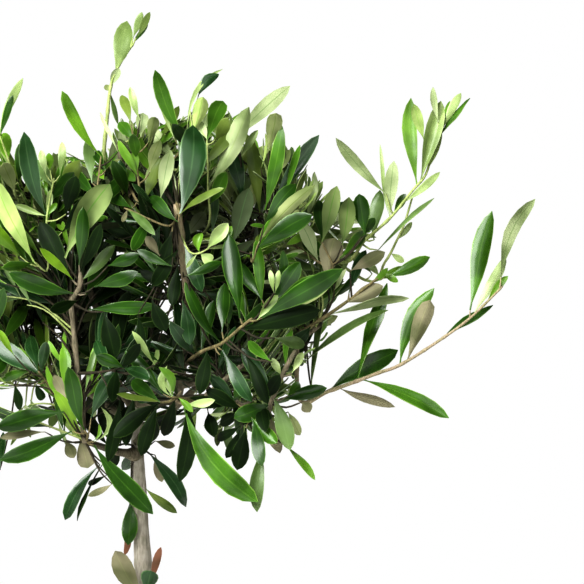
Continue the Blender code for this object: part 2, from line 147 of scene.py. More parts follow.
# ---- Finishes ----


def linear(colour: Colour) -> tuple[float, float, float, float]:
    """Return a colour given as 0 to 255 display values as the shader reads it."""
    shares = [channel / 255 for channel in colour]
    return (*[s / 12.92 if s <= 0.04045 else ((s + 0.055) / 1.055) ** 2.4 for s in shares], 1.0)


class Shader:
    """A Principled material and short ways to wire its procedural nodes."""

    def __init__(self, name: str, colour: Colour, roughness: float, specular: float = 0.5) -> None:
        """Start a material.

        Args:
            name: The material's name.
            colour: Base colour.
            roughness: Surface roughness.
            specular: Specular level.
        """
        self.material = bpy.data.materials.new(name)
        self.material.use_nodes = True
        self.material.diffuse_color = linear(colour)
        self.nodes = self.material.node_tree.nodes
        self.links = self.material.node_tree.links
        self.surface = self.nodes["Principled BSDF"]
        constants = {"Base Color": linear(colour), "Roughness": roughness, "Specular IOR Level": specular}
        self.fill(self.surface, constants)

    def fill(self, node: bpy.types.Node, inputs: Mapping[str | int, object]) -> bpy.types.Node:
        """Give inputs of a node their constants or the outputs that feed them.

        Args:
            node: The node.
            inputs: The constant or the output for each input, by name or place.

        Returns:
            The node.
        """
        for name, value in inputs.items():
            if isinstance(value, Socket):
                self.links.new(value, node.inputs[name])
            else:
                node.inputs[name].default_value = value
        return node

    def add(self, kind: str, inputs: Mapping[str | int, object]) -> bpy.types.Node:
        """Add a node of a kind, its inputs filled."""
        return self.fill(self.nodes.new("ShaderNode" + kind), inputs)

    def place(self, stretch: tuple[float, float, float] = (1.0, 1.0, 1.0)) -> Socket:
        """Return Object coordinates, stretched along each axis."""
        source = self.nodes.new("ShaderNodeTexCoord").outputs["Object"]
        return self.add("Mapping", {"Vector": source, "Scale": stretch}).outputs["Vector"]

    def from_rib(self) -> Socket:
        """Find how far across its leaf a point lies.

        Returns:
            The distance, from 0 at the rib to 1 at the margin.
        """
        mapped = self.nodes.new("ShaderNodeUVMap")
        mapped.uv_map = "leaf"
        across = self.add("SeparateXYZ", {"Vector": mapped.outputs["UV"]}).outputs["Y"]
        for operation, amount in (("SUBTRACT", 0.5), ("MULTIPLY", 2.0), ("ABSOLUTE", 0.0)):
            step = self.add("Math", {0: across, 1: amount})
            step.operation = operation
            across = step.outputs[0]
        return across

    def grain(self, where: Socket, scale: float, detail: float = 3.0) -> Socket:
        """Return a noise pattern of a scale."""
        return self.add("TexNoise", {"Vector": where, "Scale": scale, "Detail": detail}).outputs["Fac"]

    def cracks(self, where: Socket, scale: float) -> Socket:
        """Return how far a point lies from the edges of a cell pattern."""
        pattern = self.add("TexVoronoi", {"Vector": where, "Scale": scale})
        pattern.feature = "DISTANCE_TO_EDGE"
        return pattern.outputs["Distance"]

    def ramp(self, value: Socket, stops: Sequence[tuple[float, Colour]]) -> Socket:
        """Return colours that follow a value.

        Args:
            value: What the colours follow.
            stops: Position and colour of each stop.

        Returns:
            The ramp's colour.
        """
        ramp = self.add("ValToRGB", {"Fac": value})
        elements = ramp.color_ramp.elements
        while len(elements) < len(stops):
            elements.new(0.5)
        for element, (position, colour) in zip(elements, stops):
            element.position = position
            element.color = linear(colour)
        return ramp.outputs["Color"]

    def spread(self, value: Socket, low: float, high: float) -> Socket:
        """Return a value stretched from 0.3 to 0.7 onto a range."""
        limits = {"From Min": 0.3, "From Max": 0.7, "To Min": low, "To Max": high}
        return self.add("MapRange", {"Value": value, **limits}).outputs["Result"]

    def blend(self, share: Socket | float, first: Socket, second: Socket, kind: str = "MIX") -> Socket:
        """Return two colours mixed by a share."""
        mix = self.nodes.new("ShaderNodeMix")
        mix.data_type = "RGBA"
        mix.blend_type = kind
        return self.fill(mix, {0: share, 6: first, 7: second}).outputs[2]

    def colour(self, source: Socket) -> None:
        """Give the surface its colour."""
        self.links.new(source, self.surface.inputs["Base Color"])

    def roughness(self, source: Socket) -> None:
        """Give the surface its roughness."""
        self.links.new(source, self.surface.inputs["Roughness"])

    def relief(self, heights: Iterable[tuple[Socket, float, float]]) -> None:
        """Give the surface its fine relief.

        Args:
            heights: For each layer its pattern, its strength and its depth in metres.
        """
        below = None
        for pattern, strength, depth in heights:
            bump = self.add("Bump", {"Height": pattern, "Strength": strength, "Distance": depth})
            if below:
                self.links.new(below, bump.inputs["Normal"])
            below = bump.outputs["Normal"]
        self.links.new(below, self.surface.inputs["Normal"])


@dataclass(frozen=True)
class LeafFinish:
    """Colours of one kind of leaf: upper side, rib and margin, and underside."""

    name: str
    upper: Colour
    edge: Colour
    under: Colour
    gloss: float = 0.28
    shine: float = 0.3
    shade: Colour = (176, 186, 160)

    def materials(self) -> list[Material]:
        """Return the leaf's two materials, in the order of its blank's slots."""
        return [self.blade(), self.felt()]

    def dapple(self, shader: Shader, lines: Socket) -> None:
        """Give a side its colours, a little uneven along each leaf.

        Args:
            shader: The side's material.
            lines: Its colours across the leaf.
        """
        patches = shader.grain(shader.place(), 32.0, 2.0)
        shades = shader.ramp(patches, [(0.36, self.shade), (0.6, (255, 255, 255))])
        shader.colour(shader.blend(1.0, lines, shades, "MULTIPLY"))

    def blade(self) -> Material:
        """Make the leathery upper side, with a paler rib and margin.

        Returns:
            The material.
        """
        shader = Shader(f"{self.name} leaf upper side", self.upper, self.gloss, self.shine)
        shader.fill(shader.surface, {"Coat Weight": 0.15 * self.shine, "Coat Roughness": 0.16})
        across = shader.from_rib()
        rib = tuple((2 * deep + pale) // 3 for deep, pale in zip(self.upper, self.edge))
        stops = [(0.02, rib), (0.1, self.upper), (0.86, self.upper), (0.98, self.edge)]
        self.dapple(shader, shader.ramp(across, stops))
        shader.relief([(shader.grain(shader.place(), 170.0), 0.1, 0.5 * MM)])
        return shader.material

    def felt(self) -> Material:
        """Make the felted underside, with a rib line in the edge colour.

        Returns:
            The material.
        """
        shader = Shader(f"{self.name} leaf underside", self.under, 0.7, 0.3)
        shader.fill(shader.surface, {"Sheen Weight": 0.06, "Sheen Roughness": 0.4})
        self.dapple(shader, shader.ramp(shader.from_rib(), [(0.03, self.edge), (0.07, self.under)]))
        where = shader.place()
        nap = shader.grain(where, 1800.0, 2.0)
        shader.relief([(nap, 0.2, 0.15 * MM), (shader.grain(where, 220.0), 0.2, 0.5 * MM)])
        return shader.material


class Tone(Enum):
    """The kinds of leaf, from old ones and a near-black green painted as shade to fresh."""

    # Near-black green painted as shade, for leaves deep inside the head; little sheen, so it stays dark.
    DEEP = LeafFinish("deep", (16, 34, 6), (52, 74, 30), (46, 56, 28), 0.55, 0.08)
    INKY = LeafFinish("inky", (36, 68, 32), (100, 130, 84), (92, 108, 74), 0.26, 0.36)
    DARK = LeafFinish("dark", (38, 72, 13), (92, 130, 50), (114, 130, 78))
    GREEN = LeafFinish("green", (68, 108, 28), (126, 160, 72), (134, 152, 94))
    VIVID = LeafFinish("vivid", (100, 140, 40), (128, 162, 62), (150, 172, 98))
    GREY = LeafFinish("grey", (98, 122, 70), (118, 140, 88), (156, 168, 126), 0.34)
    OLIVE = LeafFinish("olive", (104, 122, 54), (122, 140, 70), (148, 158, 108), 0.36)
    FRESH = LeafFinish("fresh", (106, 146, 46), (134, 166, 74), (156, 174, 106), 0.34)
    LIME = LeafFinish("lime", (116, 152, 36), (140, 172, 64), (158, 176, 98), 0.34)
    PALE = LeafFinish("pale", (152, 170, 112), (170, 186, 130), (180, 192, 148), 0.38)
    DRY = LeafFinish("dry", (118, 78, 56), (134, 94, 68), (128, 92, 70), 0.6)
    STRAW = LeafFinish("straw", (116, 114, 82), (136, 134, 102), (128, 124, 98), 0.6)


Weights = tuple[tuple[Tone, int], ...]


@dataclass(frozen=True)
class BarkFinish:
    """Bark: its main colour, lighter and darker patches, and how coarse it is."""

    name: str
    dark: Colour
    main: Colour
    light: Colour
    moss: Colour
    coarse: float = 1.0

    def material(self) -> Material:
        """Make the mottled, finely fissured bark.

        Returns:
            The material.
        """
        shader = Shader(self.name, self.main, 0.8, 0.3)
        along = shader.place((1.0, 1.0, 0.22))
        even = shader.place()
        fine = shader.grain(along, 420.0 * self.coarse, 6.0)
        patches = shader.grain(even, 55.0 * self.coarse, 4.0)
        streaks = shader.ramp(fine, [(0.34, self.dark), (0.5, self.main), (0.68, self.light)])
        tint = shader.ramp(patches, [(0.4, self.moss), (0.56, self.light)])
        amount = shader.spread(shader.grain(even, 90.0 * self.coarse), 0.1, 0.55)
        shader.colour(shader.blend(amount, streaks, tint))
        shader.roughness(shader.spread(fine, 0.7, 0.9))
        fissures = shader.cracks(along, 210.0 * self.coarse)
        dust = shader.grain(even, 1500.0)
        shader.relief([(fissures, 0.5, 0.8 * MM), (fine, 0.6, 0.5 * MM), (dust, 0.4, 0.2 * MM)])
        return shader.material


class Wood(Enum):
    """The kinds of wood, from the old stem to this year's shoots, with a dark bark painted as shade."""

    STEM = BarkFinish("old stem bark", (112, 106, 94), (148, 142, 129), (176, 170, 158), (126, 126, 106))
    LIMB = BarkFinish("limb bark", (60, 54, 43), (102, 94, 77), (136, 127, 106), (82, 86, 60), 1.3)
    BROWN = BarkFinish("brown twig bark", (66, 58, 40), (108, 98, 68), (138, 128, 92), (94, 98, 58), 1.8)
    # Dark bark painted as shade, for twigs inside the head and long side twigs.
    INNER = BarkFinish("inner twig bark", (28, 24, 17), (46, 41, 29), (66, 60, 42), (42, 44, 26), 1.8)
    BLUSH = BarkFinish(
        "blushed twig bark", (116, 102, 80), (146, 132, 108), (166, 152, 128), (132, 134, 96), 1.8
    )
    YOUNG = BarkFinish(
        "young shoot bark", (116, 128, 74), (146, 158, 98), (172, 182, 124), (124, 142, 74), 2.0
    )


@dataclass(frozen=True)
class ClayFinish:
    """Fired clay: body colour, darker and paler patches, and pale bloom from watering."""

    body: Colour = (172, 104, 74)
    dark: Colour = (144, 82, 58)
    pale: Colour = (192, 130, 98)
    bloom: Colour = (206, 178, 156)

    def material(self) -> Material:
        """Make the clay.

        Returns:
            The material.
        """
        shader = Shader("fired clay", self.body, 0.85, 0.3)
        even = shader.place()
        turned = shader.place((1.0, 1.0, 9.0))
        patches = shader.grain(even, 14.0, 5.0)
        fired = shader.ramp(patches, [(0.35, self.dark), (0.5, self.body), (0.68, self.pale)])
        amount = shader.spread(shader.grain(even, 9.0, 6.0), -0.35, 0.55)
        bloom = shader.ramp(shader.grain(even, 240.0), [(0.3, self.body), (0.65, self.bloom)])
        share = shader.add("Clamp", {"Value": amount}).outputs["Result"]
        shader.colour(shader.blend(share, fired, bloom))
        shader.roughness(shader.spread(shader.grain(even, 120.0), 0.78, 0.95))
        shader.relief(
            [
                (shader.grain(turned, 30.0, 4.0), 0.35, 0.8 * MM),
                (shader.grain(even, 700.0, 4.0), 0.35, 0.4 * MM),
                (shader.cracks(even, 240.0), 0.12, 0.3 * MM),
            ]
        )
        return shader.material


@dataclass(frozen=True)
class CompostFinish:
    """Damp compost, or the drier crumbs that lie on it."""

    name: str = "compost"
    dark: Colour = (30, 22, 16)
    main: Colour = (58, 44, 33)
    light: Colour = (96, 76, 58)

    def material(self) -> Material:
        """Make the compost.

        Returns:
            The material.
        """
        shader = Shader(self.name, self.main, 0.95, 0.2)
        even = shader.place()
        mottle = shader.grain(even, 260.0, 8.0)
        shader.colour(shader.ramp(mottle, [(0.35, self.dark), (0.5, self.main), (0.7, self.light)]))
        shader.relief([(mottle, 0.8, 1.2 * MM), (shader.grain(even, 1200.0, 4.0), 0.6, 0.4 * MM)])
        return shader.material


# ---- Shaping ----


def place(x: float, y: float, z: float) -> Vector:
    """Return a point given in millimetres."""
    return Vector((x, y, z)) * MM


def route(points: Iterable[Vector], step: float) -> list[Vector]:
    """Return points along a smooth curve.

    Args:
        points: The points that the curve runs by.
        step: About how far its own points lie apart.

    Returns:
        The curve's points, from the first given one to the last.
    """
    knots = [Vector(point) for point in points]
    ends = [2 * knots[0] - knots[1], *knots, 2 * knots[-1] - knots[-2]]
    path = []
    for before, start, end, after in zip(ends, knots, knots[1:], ends[3:]):
        count = max(2, round((end - start).length / step) + 1)
        handle_start = start + (end - before) / 6
        handle_end = end - (after - start) / 6
        path += interpolate_bezier(start, handle_start, handle_end, end, count)[:-1]
    return [*path, knots[-1]]


def tapered(start: float, end: float, count: int) -> list[float]:
    """Return radii that go evenly from one to the other."""
    return [start + (end - start) * index / (count - 1) for index in range(count)]


def walk(path: Path, distance: float) -> tuple[Vector, Vector]:
    """Find a place along a path.

    Args:
        path: The path's points.
        distance: How far along it the place lies.

    Returns:
        The point there, and the path's direction.
    """
    left = distance
    for start, end in zip(path, path[1:]):
        length = (end - start).length
        if left <= length:
            return start.lerp(end, left / length), (end - start).normalized()
        left -= length
    return path[-1], (path[-1] - path[-2]).normalized()


def length_of(path: Path) -> float:
    """Return a path's length."""
    return sum((end - start).length for start, end in zip(path, path[1:]))


def swept(path: Path, radii: Sequence[float], sides: int) -> BMesh:
    """Sweep a round rod along a path.

    Args:
        path: The rod's middle line.
        radii: Its radius at each point of the path.
        sides: How many sides it has.

    Returns:
        The closed rod. A layer named "ring" holds each corner's place along the path.
    """
    rod = bmesh.new()
    ring = rod.verts.layers.int.new("ring")
    bmesh.ops.create_circle(rod, cap_ends=True, segments=sides, radius=1.0)
    cap = next(iter(rod.faces))
    for index in range(1, len(path)):
        made = bmesh.ops.extrude_face_region(rod, geom=[cap, *cap.edges])["geom"]
        cap = next(item for item in made if isinstance(item, bmesh.types.BMFace))
        for corner in cap.verts:
            corner[ring] = index
    frames = frames_along(path)
    for corner in rod.verts:
        index = corner[ring]
        across, upward = frames[index]
        reach = across * corner.co.x + upward * corner.co.y
        corner.co = path[index] + reach * radii[index]
    bmesh.ops.recalc_face_normals(rod, faces=rod.faces)
    for face in rod.faces:
        face.smooth = len(face.verts) == 4
    return rod


def frames_along(path: Path) -> list[tuple[Vector, Vector]]:
    """Return two directions across a path at each of its points, turning as little as they can.

    Args:
        path: The path's points.

    Returns:
        Both directions for each point.
    """
    directions = [(end - start).normalized() for start, end in zip(path, path[1:])]
    tangents = [directions[0]]
    tangents += [(before + after).normalized() for before, after in zip(directions, directions[1:])]
    tangents.append(directions[-1])
    across = tangents[0].orthogonal().normalized()
    frames = []
    for tangent in tangents:
        across = (across - tangent * across.dot(tangent)).normalized()
        frames.append((across, tangent.cross(across)))
    return frames


class Pool:
    """A piece in the making, which collects many small closed shapes."""

    def __init__(self, name: str, slot: str, materials: Sequence[Material]) -> None:
        """Start a piece.

        Args:
            name: The piece's name.
            slot: Passed on to piece.
            materials: Its materials.
        """
        self.name = name
        self.slot = slot
        self.materials = materials
        self.body = bmesh.new()
        self.scratch = bpy.data.meshes.new("scratch")

    def take(self, shape: BMesh, material: int = 0) -> None:
        """Add a shape, which is used up.

        Args:
            shape: The shape.
            material: Which of the piece's materials it takes.
        """
        for face in shape.faces:
            face.material_index = material
        shape.to_mesh(self.scratch)
        shape.free()
        self.body.from_mesh(self.scratch)

    def finish(self, *nodes: str) -> Object | None:
        """Make the piece.

        Args:
            nodes: The solids that it stands for.

        Returns:
            The piece, or None where nothing was added.
        """
        bpy.data.meshes.remove(self.scratch)
        if not self.body.faces:
            self.body.free()
            return None
        mesh = bpy.data.meshes.new(self.name)
        self.body.to_mesh(mesh)
        self.body.free()
        for material in self.materials:
            mesh.materials.append(material)
        return piece(self.name, mesh, self.slot, nodes)


def piece(name: str, mesh: bpy.types.Mesh, slot: str, nodes: Sequence[str]) -> Object:
    """Put a finished mesh on the tree.

    Args:
        name: The piece's name.
        mesh: Its mesh, in place.
        slot: Not used.
        nodes: The solids that it stands for.

    Returns:
        The piece.
    """
    made = bpy.data.objects.new(name, mesh)
    bpy.context.scene.collection.objects.link(made)
    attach(made, BODY)
    if nodes:
        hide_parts(*nodes)
    log.info("%s: %d faces", name, len(mesh.polygons))
    return made


# ---- Trunk and boughs ----


@dataclass(frozen=True)
class Knot:
    """A healed knot on the trunk: its height, its bearing, its size and how far it stands out."""

    height: float
    bearing: float
    size: float
    rise: float


@dataclass
class Trunk:
    """The bare stem, from its flat cut at the compost to its head, with fissured bark."""

    foot: float = 174.3 * MM
    top: float = 640 * MM
    lean: Vector = field(default_factory=lambda: place(-18, 6, 0))
    bow: Vector = field(default_factory=lambda: place(3, -4, 0))
    foot_radius: float = 11.5 * MM
    top_radius: float = 4.4 * MM
    taper: float = 1.3
    flare: float = 8 * MM
    flare_height: float = 16 * MM
    flare_lobes: int = 5
    flare_lobe_depth: float = 0.4
    ring_step: float = 2.2 * MM
    sides: int = 44
    ridge: float = 0.45 * MM
    ridge_around: float = 5.5
    ridge_along: float = 42.0
    lump: float = 0.7 * MM
    lump_along: float = 24.0
    dimple: float = 0.75
    dimple_edge: float = 7.0
    knots: tuple[Knot, ...] = (
        Knot(212 * MM, 200, 6 * MM, 1.6 * MM),
        Knot(268 * MM, 320, 5 * MM, 1.5 * MM),
        Knot(331 * MM, 250, 5.5 * MM, 1.7 * MM),
        Knot(372 * MM, 80, 5 * MM, 1.4 * MM),
        Knot(418 * MM, 20, 5 * MM, 1.6 * MM),
        Knot(452 * MM, 150, 4.5 * MM, 1.4 * MM),
        Knot(494 * MM, 285, 4.5 * MM, 1.6 * MM),
        Knot(523 * MM, 230, 4 * MM, 1.3 * MM),
    )

    def middle(self, height: float) -> Vector:
        """Return the middle of the trunk at a height."""
        share = (height - self.foot) / (self.top - self.foot)
        lean = share * share * (3 - 2 * share)
        bow = self.bow * math.sin(math.tau * share) * min(1.0, 4 * share)
        return self.lean * lean + bow + Vector((0, 0, height))

    def radius(self, height: float) -> float:
        """Return its radius at a height, without the flare."""
        share = (height - self.foot) / (self.top - self.foot)
        return self.top_radius + (self.foot_radius - self.top_radius) * (1 - share**self.taper)

    def relief(self, spot: Vector, outward: Vector) -> float:
        """Return how far the bark stands out at a spot.

        Args:
            spot: The spot on the plain stem.
            outward: The stem's level outward direction there.

        Returns:
            The distance.
        """
        bearing = math.atan2(outward.y, outward.x)
        across, ahead = math.cos(bearing), math.sin(bearing)
        around = Vector((across * self.ridge_around, ahead * self.ridge_around, spot.z * self.ridge_along))
        ridge = self.ridge * noise.fractal(around, 0.7, 2.1, 3)
        lump = self.lump * noise.noise(Vector((across, ahead, spot.z * self.lump_along)))
        stand = ridge + lump
        for knot in self.knots:
            turn = math.remainder(bearing - math.radians(knot.bearing), math.tau)
            away = math.hypot(turn * self.radius(spot.z), spot.z - knot.height) / knot.size
            dimple = self.dimple * math.exp(-self.dimple_edge * away * away)
            stand += knot.rise * (math.exp(-away * away) - dimple)
        return stand

    def build(self) -> Object:
        """Make the trunk.

        Returns:
            The piece.
        """
        count = round((self.top - self.foot) / self.ring_step)
        heights = [self.foot + (self.top - self.foot) * index / count for index in range(count + 1)]
        path = [self.middle(height) for height in heights]
        path[1].xy = path[0].xy
        rod = swept(path, [self.radius(height) for height in heights], self.sides)
        for corner in rod.verts:
            outward = corner.co - self.middle(corner.co.z)
            outward.z = 0.0
            outward.normalize()
            rise = corner.co.z - self.foot
            bearing = math.atan2(outward.y, outward.x)
            lobe = 1 + self.flare_lobe_depth * math.cos(self.flare_lobes * bearing)
            stand = self.flare * lobe * math.exp(-rise / self.flare_height)
            corner.co += outward * (stand + self.relief(corner.co, outward))
        pool = Pool("bark_trunk", "bark", [Wood.STEM.value.material()])
        pool.take(rod)
        return pool.finish("trunk")


TRUNK = Trunk()


@dataclass(frozen=True)
class Mass:
    """One mass of foliage: where its bough leaves the trunk, and its stem's foot and end."""

    name: str
    bough_height: float
    stem_foot: Vector
    stem_end: Vector
    stem_radius: float = 2.6 * MM
    knee: Vector | None = None


OLD_WOOD = 4 * MM

MASSES = (
    Mass("front_left", 551 * MM, place(-57, -58, 566), place(-72, -76, 694)),
    Mass("front_high", 562 * MM, place(28, -54, 690), place(20, -64, 775), OLD_WOOD, place(17, -14, 600)),
    Mass("back_right", 572 * MM, place(42, 56, 620), place(92, 98, 676)),
    Mass("left", 581 * MM, place(-82, 14, 624), place(-142, 4, 672)),
    Mass("back_left", 590 * MM, place(-50, 60, 630), place(-88, 100, 672)),
    Mass("front_right", 598 * MM, place(40, -66, 606), place(84, -92, 640)),
    Mass("right", 607 * MM, place(92, 0, 634), place(146, -8, 668)),
    Mass("left_high", 614 * MM, place(-70, -6, 722), place(-118, -12, 792)),
    Mass("back_high", 622 * MM, place(-2, 64, 714), place(8, 98, 790)),
    Mass("right_high", 630 * MM, place(74, 6, 734), place(126, 4, 778)),
    Mass("top", TRUNK.top, place(-20, 2, 750), place(-36, -6, 832)),
)

LOW_SHOOT = Mass("low_shoot", 414 * MM, place(-11, -1, 417), place(-11, -17, 428), 1.2 * MM)


@dataclass
class Bough:
    """One tapering limb, from inside the trunk to the foot of its mass's stem."""

    mass: Mass
    share: float = 0.7
    tip_radius: float = 2.4 * MM
    collar: float = 0.55
    collar_length: float = 7 * MM
    knee_out: float = 0.42
    knee_rise: float = 0.3
    leader_knee_out: float = 0.35
    leader_knee_rise: float = 0.5
    step: float = 16 * MM
    fine_step: float = 2.5 * MM
    run_out: float = 8 * MM
    sides: int = 18
    ridge: float = 0.22 * MM
    lump: float = 0.45 * MM

    def route(self) -> list[Vector]:
        """Lay the bough's middle line.

        Returns:
            Its points.
        """
        foot = TRUNK.middle(self.mass.bough_height)
        reach = self.mass.stem_foot - foot
        outward = Vector((reach.x, reach.y, 0.0))
        rise = Vector((0, 0, reach.z))
        if self.mass.bough_height >= TRUNK.top:
            knee = foot + outward * self.leader_knee_out + rise * self.leader_knee_rise
        else:
            knee = self.mass.knee or foot + outward * self.knee_out + rise * self.knee_rise
        return route((foot, knee, self.mass.stem_foot), self.step)

    def stem(self, step: float) -> list[Vector]:
        """Return the middle line of the mass's stem, which goes on from the bough's tip."""
        before, tip = self.route()[-2:]
        run_out = tip + (tip - before).normalized() * self.run_out
        return [tip, *route((run_out, (run_out + self.mass.stem_end) / 2, self.mass.stem_end), step)]

    def build(self, bark: Material) -> Object:
        """Make the bough and return it.

        Args:
            bark: Its material.

        Returns:
            The piece.
        """
        path = route(self.route(), self.fine_step)
        foot_radius = self.share * TRUNK.radius(min(self.mass.bough_height, TRUNK.top))
        tip_radius = max(self.tip_radius, self.mass.stem_radius)
        radii = tapered(max(foot_radius, tip_radius), tip_radius, len(path))
        reached = -TRUNK.radius(min(self.mass.bough_height, TRUNK.top))
        for index, (start, end) in enumerate(zip(path, path[1:])):
            radii[index] *= 1 + self.collar * math.exp(-((max(reached, 0.0) / self.collar_length) ** 2))
            reached += (end - start).length
        if self.mass.bough_height >= TRUNK.top:
            radii[0] = TRUNK.top_radius
        rod = swept(path, radii, self.sides)
        ring = rod.verts.layers.int["ring"]
        for corner in rod.verts:
            middle = path[corner[ring]]
            outward = (corner.co - middle).normalized()
            grain = outward * 3 + middle * 90
            swell = Vector((7.1, 3.3, 1.9)) + middle * 55
            corner.co += outward * (self.ridge * noise.noise(grain * 1.7) + self.lump * noise.noise(swell))
        pool = Pool("bark_" + self.mass.name, "bark", [bark])
        pool.take(rod)
        return pool.finish("bough_" + self.mass.name)


# ---- Leaves ----


class Side(Enum):
    """Which side of a leaf is turned to the front."""

    UPPER = 1
    UNDER = -1


@dataclass(frozen=True)
class LeafPose:
    """How one leaf sits: its ends, the way its upper side faces, its width and how it is bent."""

    root: Vector
    tip: Vector
    facing: Vector
    width: float
    tone: Tone
    arch: float
    sweep: float
    fold: float
    twist: float
    blunt: float
    wave: float
    curl: float
    ruffle: float


@dataclass
class LeafBlank:
    """The flat blank that every leaf is bent from: four strips, two on each side of its rib."""

    rows: int = 8
    strips: int = 4
    petiole: float = 0.07
    petiole_width: float = 0.09
    tip_width: float = 0.03
    base_curve: float = 1.12
    end_rows: float = 0.5
    thickness: float = 0.38 * MM
    wave_sweep: float = 0.6
    ruffles: float = 9.5
    ruffle_slant: float = 2.2
    ruffle_start: float = 40.0

    def grid(self) -> BMesh:
        """Make the blank, its length 0 to 1 along X, its width -1 to 1 along Y, its wall 0 to -1.

        Returns:
            The closed blank.
        """
        body = bmesh.new()
        mapped = body.loops.layers.uv.new("leaf")
        bmesh.ops.create_grid(body, x_segments=self.rows, y_segments=self.strips, size=0.5)
        for corner in body.verts:
            share = corner.co.x + 0.5
            share += self.end_rows * (0.5 - 0.5 * math.cos(math.pi * share) - share)
            corner.co = (share, 2 * corner.co.y, 0.0)
        for face in body.faces:
            for loop in face.loops:
                loop[mapped].uv = (loop.vert.co.x, 0.5 + 0.5 * loop.vert.co.y)
        bmesh.ops.solidify(body, geom=body.faces[:], thickness=1.0)
        body.normal_update()
        return body

    def template(self, slot: int) -> bpy.types.Mesh:
        """Return the blank as a mesh.

        Args:
            slot: The first of the leaf's two material slots: upper side and underside.

        Returns:
            The mesh, its rim's edges sharp.
        """
        body = self.grid()
        for face in body.faces:
            face.smooth = True
            face.material_index = slot + (0 if face.normal.z > 0.5 else 1)
        for edge in body.edges:
            flat = [abs(face.normal.z) > 0.5 for face in edge.link_faces]
            edge.smooth = all(flat)
        mesh = bpy.data.meshes.new("leaf_blank")
        body.to_mesh(mesh)
        body.free()
        return mesh

    def half_width(self, along: float, blunt: float) -> float:
        """Return half the leaf's width, as a share of its half at its widest.

        Args:
            along: Share of the leaf's length from its root.
            blunt: How fast it narrows to its tip; less is blunter.

        Returns:
            The share.
        """
        if along <= self.petiole:
            return self.petiole_width
        blade = (along - self.petiole) / (1 - self.petiole)
        widest = self.base_curve / (self.base_curve + blunt)
        most = widest**self.base_curve * (1 - widest) ** blunt
        shape = blade**self.base_curve * (1 - blade) ** blunt / most
        return max(shape, self.petiole_width if blade < 0.5 else self.tip_width)

    def bend(self, pose: LeafPose, flat: Path) -> list[Vector]:
        """Return the blank's corners, bent to a pose.

        Args:
            pose: The leaf's pose.
            flat: The blank's corners.

        Returns:
            The corners in place.
        """
        chord = pose.tip - pose.root
        length = chord.length
        along = chord / length
        across = pose.facing.cross(along).normalized()
        upward = along.cross(across)
        bent = []
        for corner in flat:
            share, side, wall = corner
            turn = pose.twist * (share - 0.5)
            level = across * math.cos(turn) + upward * math.sin(turn)
            lift = upward * math.cos(turn) - across * math.sin(turn)
            rise = 4 * share * (1 - share) * length
            half = 0.5 * pose.width * self.half_width(share, pose.blunt)
            wave = math.sin(math.tau * share) * pose.wave * length
            middle = pose.root + chord * share + upward * (pose.arch * rise + wave)
            middle += across * (pose.sweep * rise - self.wave_sweep * wave)
            stand = math.sin(pose.fold) * abs(side) - pose.curl * side * side
            phase = self.ruffles * share + self.ruffle_slant * side + self.ruffle_start * pose.twist
            stand += pose.ruffle * abs(side) * math.sin(phase)
            reach = (level * (side * math.cos(pose.fold)) + lift * stand) * half
            bent.append(middle + reach + lift * (wall * self.thickness))
        return bent


class Leaves:
    """The leaves of one mass, joined into one piece."""

    def __init__(self, mass: Mass, blank: LeafBlank, dress: Sequence[Material], plates: list[tuple]) -> None:
        """Start a mass's leaves.

        Args:
            mass: The mass.
            blank: The blank that they are bent from.
            dress: Every tone's two materials, one tone after another.
            plates: Root, middle and search tree of every leaf on the tree so far.
        """
        self.mass = mass
        self.blank = blank
        self.pool = Pool("leaves_" + mass.name, "leaf", dress)
        self.templates = {tone: blank.template(2 * index) for index, tone in enumerate(Tone)}
        self.flat = [corner.co.copy() for corner in next(iter(self.templates.values())).vertices]
        self.plates = plates
        self.count = 0

    def add(self, pose: LeafPose) -> bool:
        """Add a leaf unless it would leave the tree's box.

        Args:
            pose: How the leaf sits.

        Returns:
            True where it was added.
        """
        corners = self.blank.bend(pose, self.flat)
        low, high = CAD_BOX
        if any(not low[axis] < corner[axis] < high[axis] for corner in corners for axis in range(3)):
            return False
        mesh = self.templates[pose.tone]
        mesh.vertices.foreach_set("co", [value for corner in corners for value in corner])
        self.pool.body.from_mesh(mesh)
        self.plates.append((pose.root, 0.5 * (pose.root + pose.tip), plate(pose)))
        self.count += 1
        return True

    def finish(self, *nodes: str) -> Object | None:
        """Make the piece and clear away the blanks.

        Args:
            nodes: The solids that it stands for.

        Returns:
            The piece, or None where nothing was added.
        """
        for mesh in self.templates.values():
            bpy.data.meshes.remove(mesh)
        return self.pool.finish(*nodes)


def plate(pose: LeafPose) -> BVHTree:
    """Make a rough flat search tree of a leaf.

    Args:
        pose: How the leaf sits.

    Returns:
        The tree.
    """
    chord = pose.tip - pose.root
    across = pose.facing.cross(chord).normalized() * (0.5 * pose.width)
    low = pose.root + chord * 0.3
    high = pose.root + chord * 0.75
    corners = [pose.root + chord * 0.08, low + across, high + across, pose.tip, high - across, low - across]
    return BVHTree.FromPolygons(corners, [(0, 1, 5), (1, 2, 4, 5), (2, 3, 4)])


# ---- Growing ----


def from_stem(point: Vector, mass: Mass) -> float:
    """Return how far a point lies from a mass's stem, taken straight."""
    along = mass.stem_end - mass.stem_foot
    share = (point - mass.stem_foot).dot(along) / along.length_squared
    return (point - mass.stem_foot - along * min(max(share, 0.0), 1.0)).length


def in_space(mass: Mass, points: Iterable[Vector], over: float = 0.0) -> bool:
    """Tell whether points all keep to a mass's own space.

    Args:
        mass: The mass.
        points: The points.
        over: How much nearer they may lie to another mass's stem than to its own.

    Returns:
        True where they do.
    """
    for point in points:
        own = from_stem(point, mass) - over
        if any(other is not mass and from_stem(point, other) < own for other in MASSES):
            return False
    return True


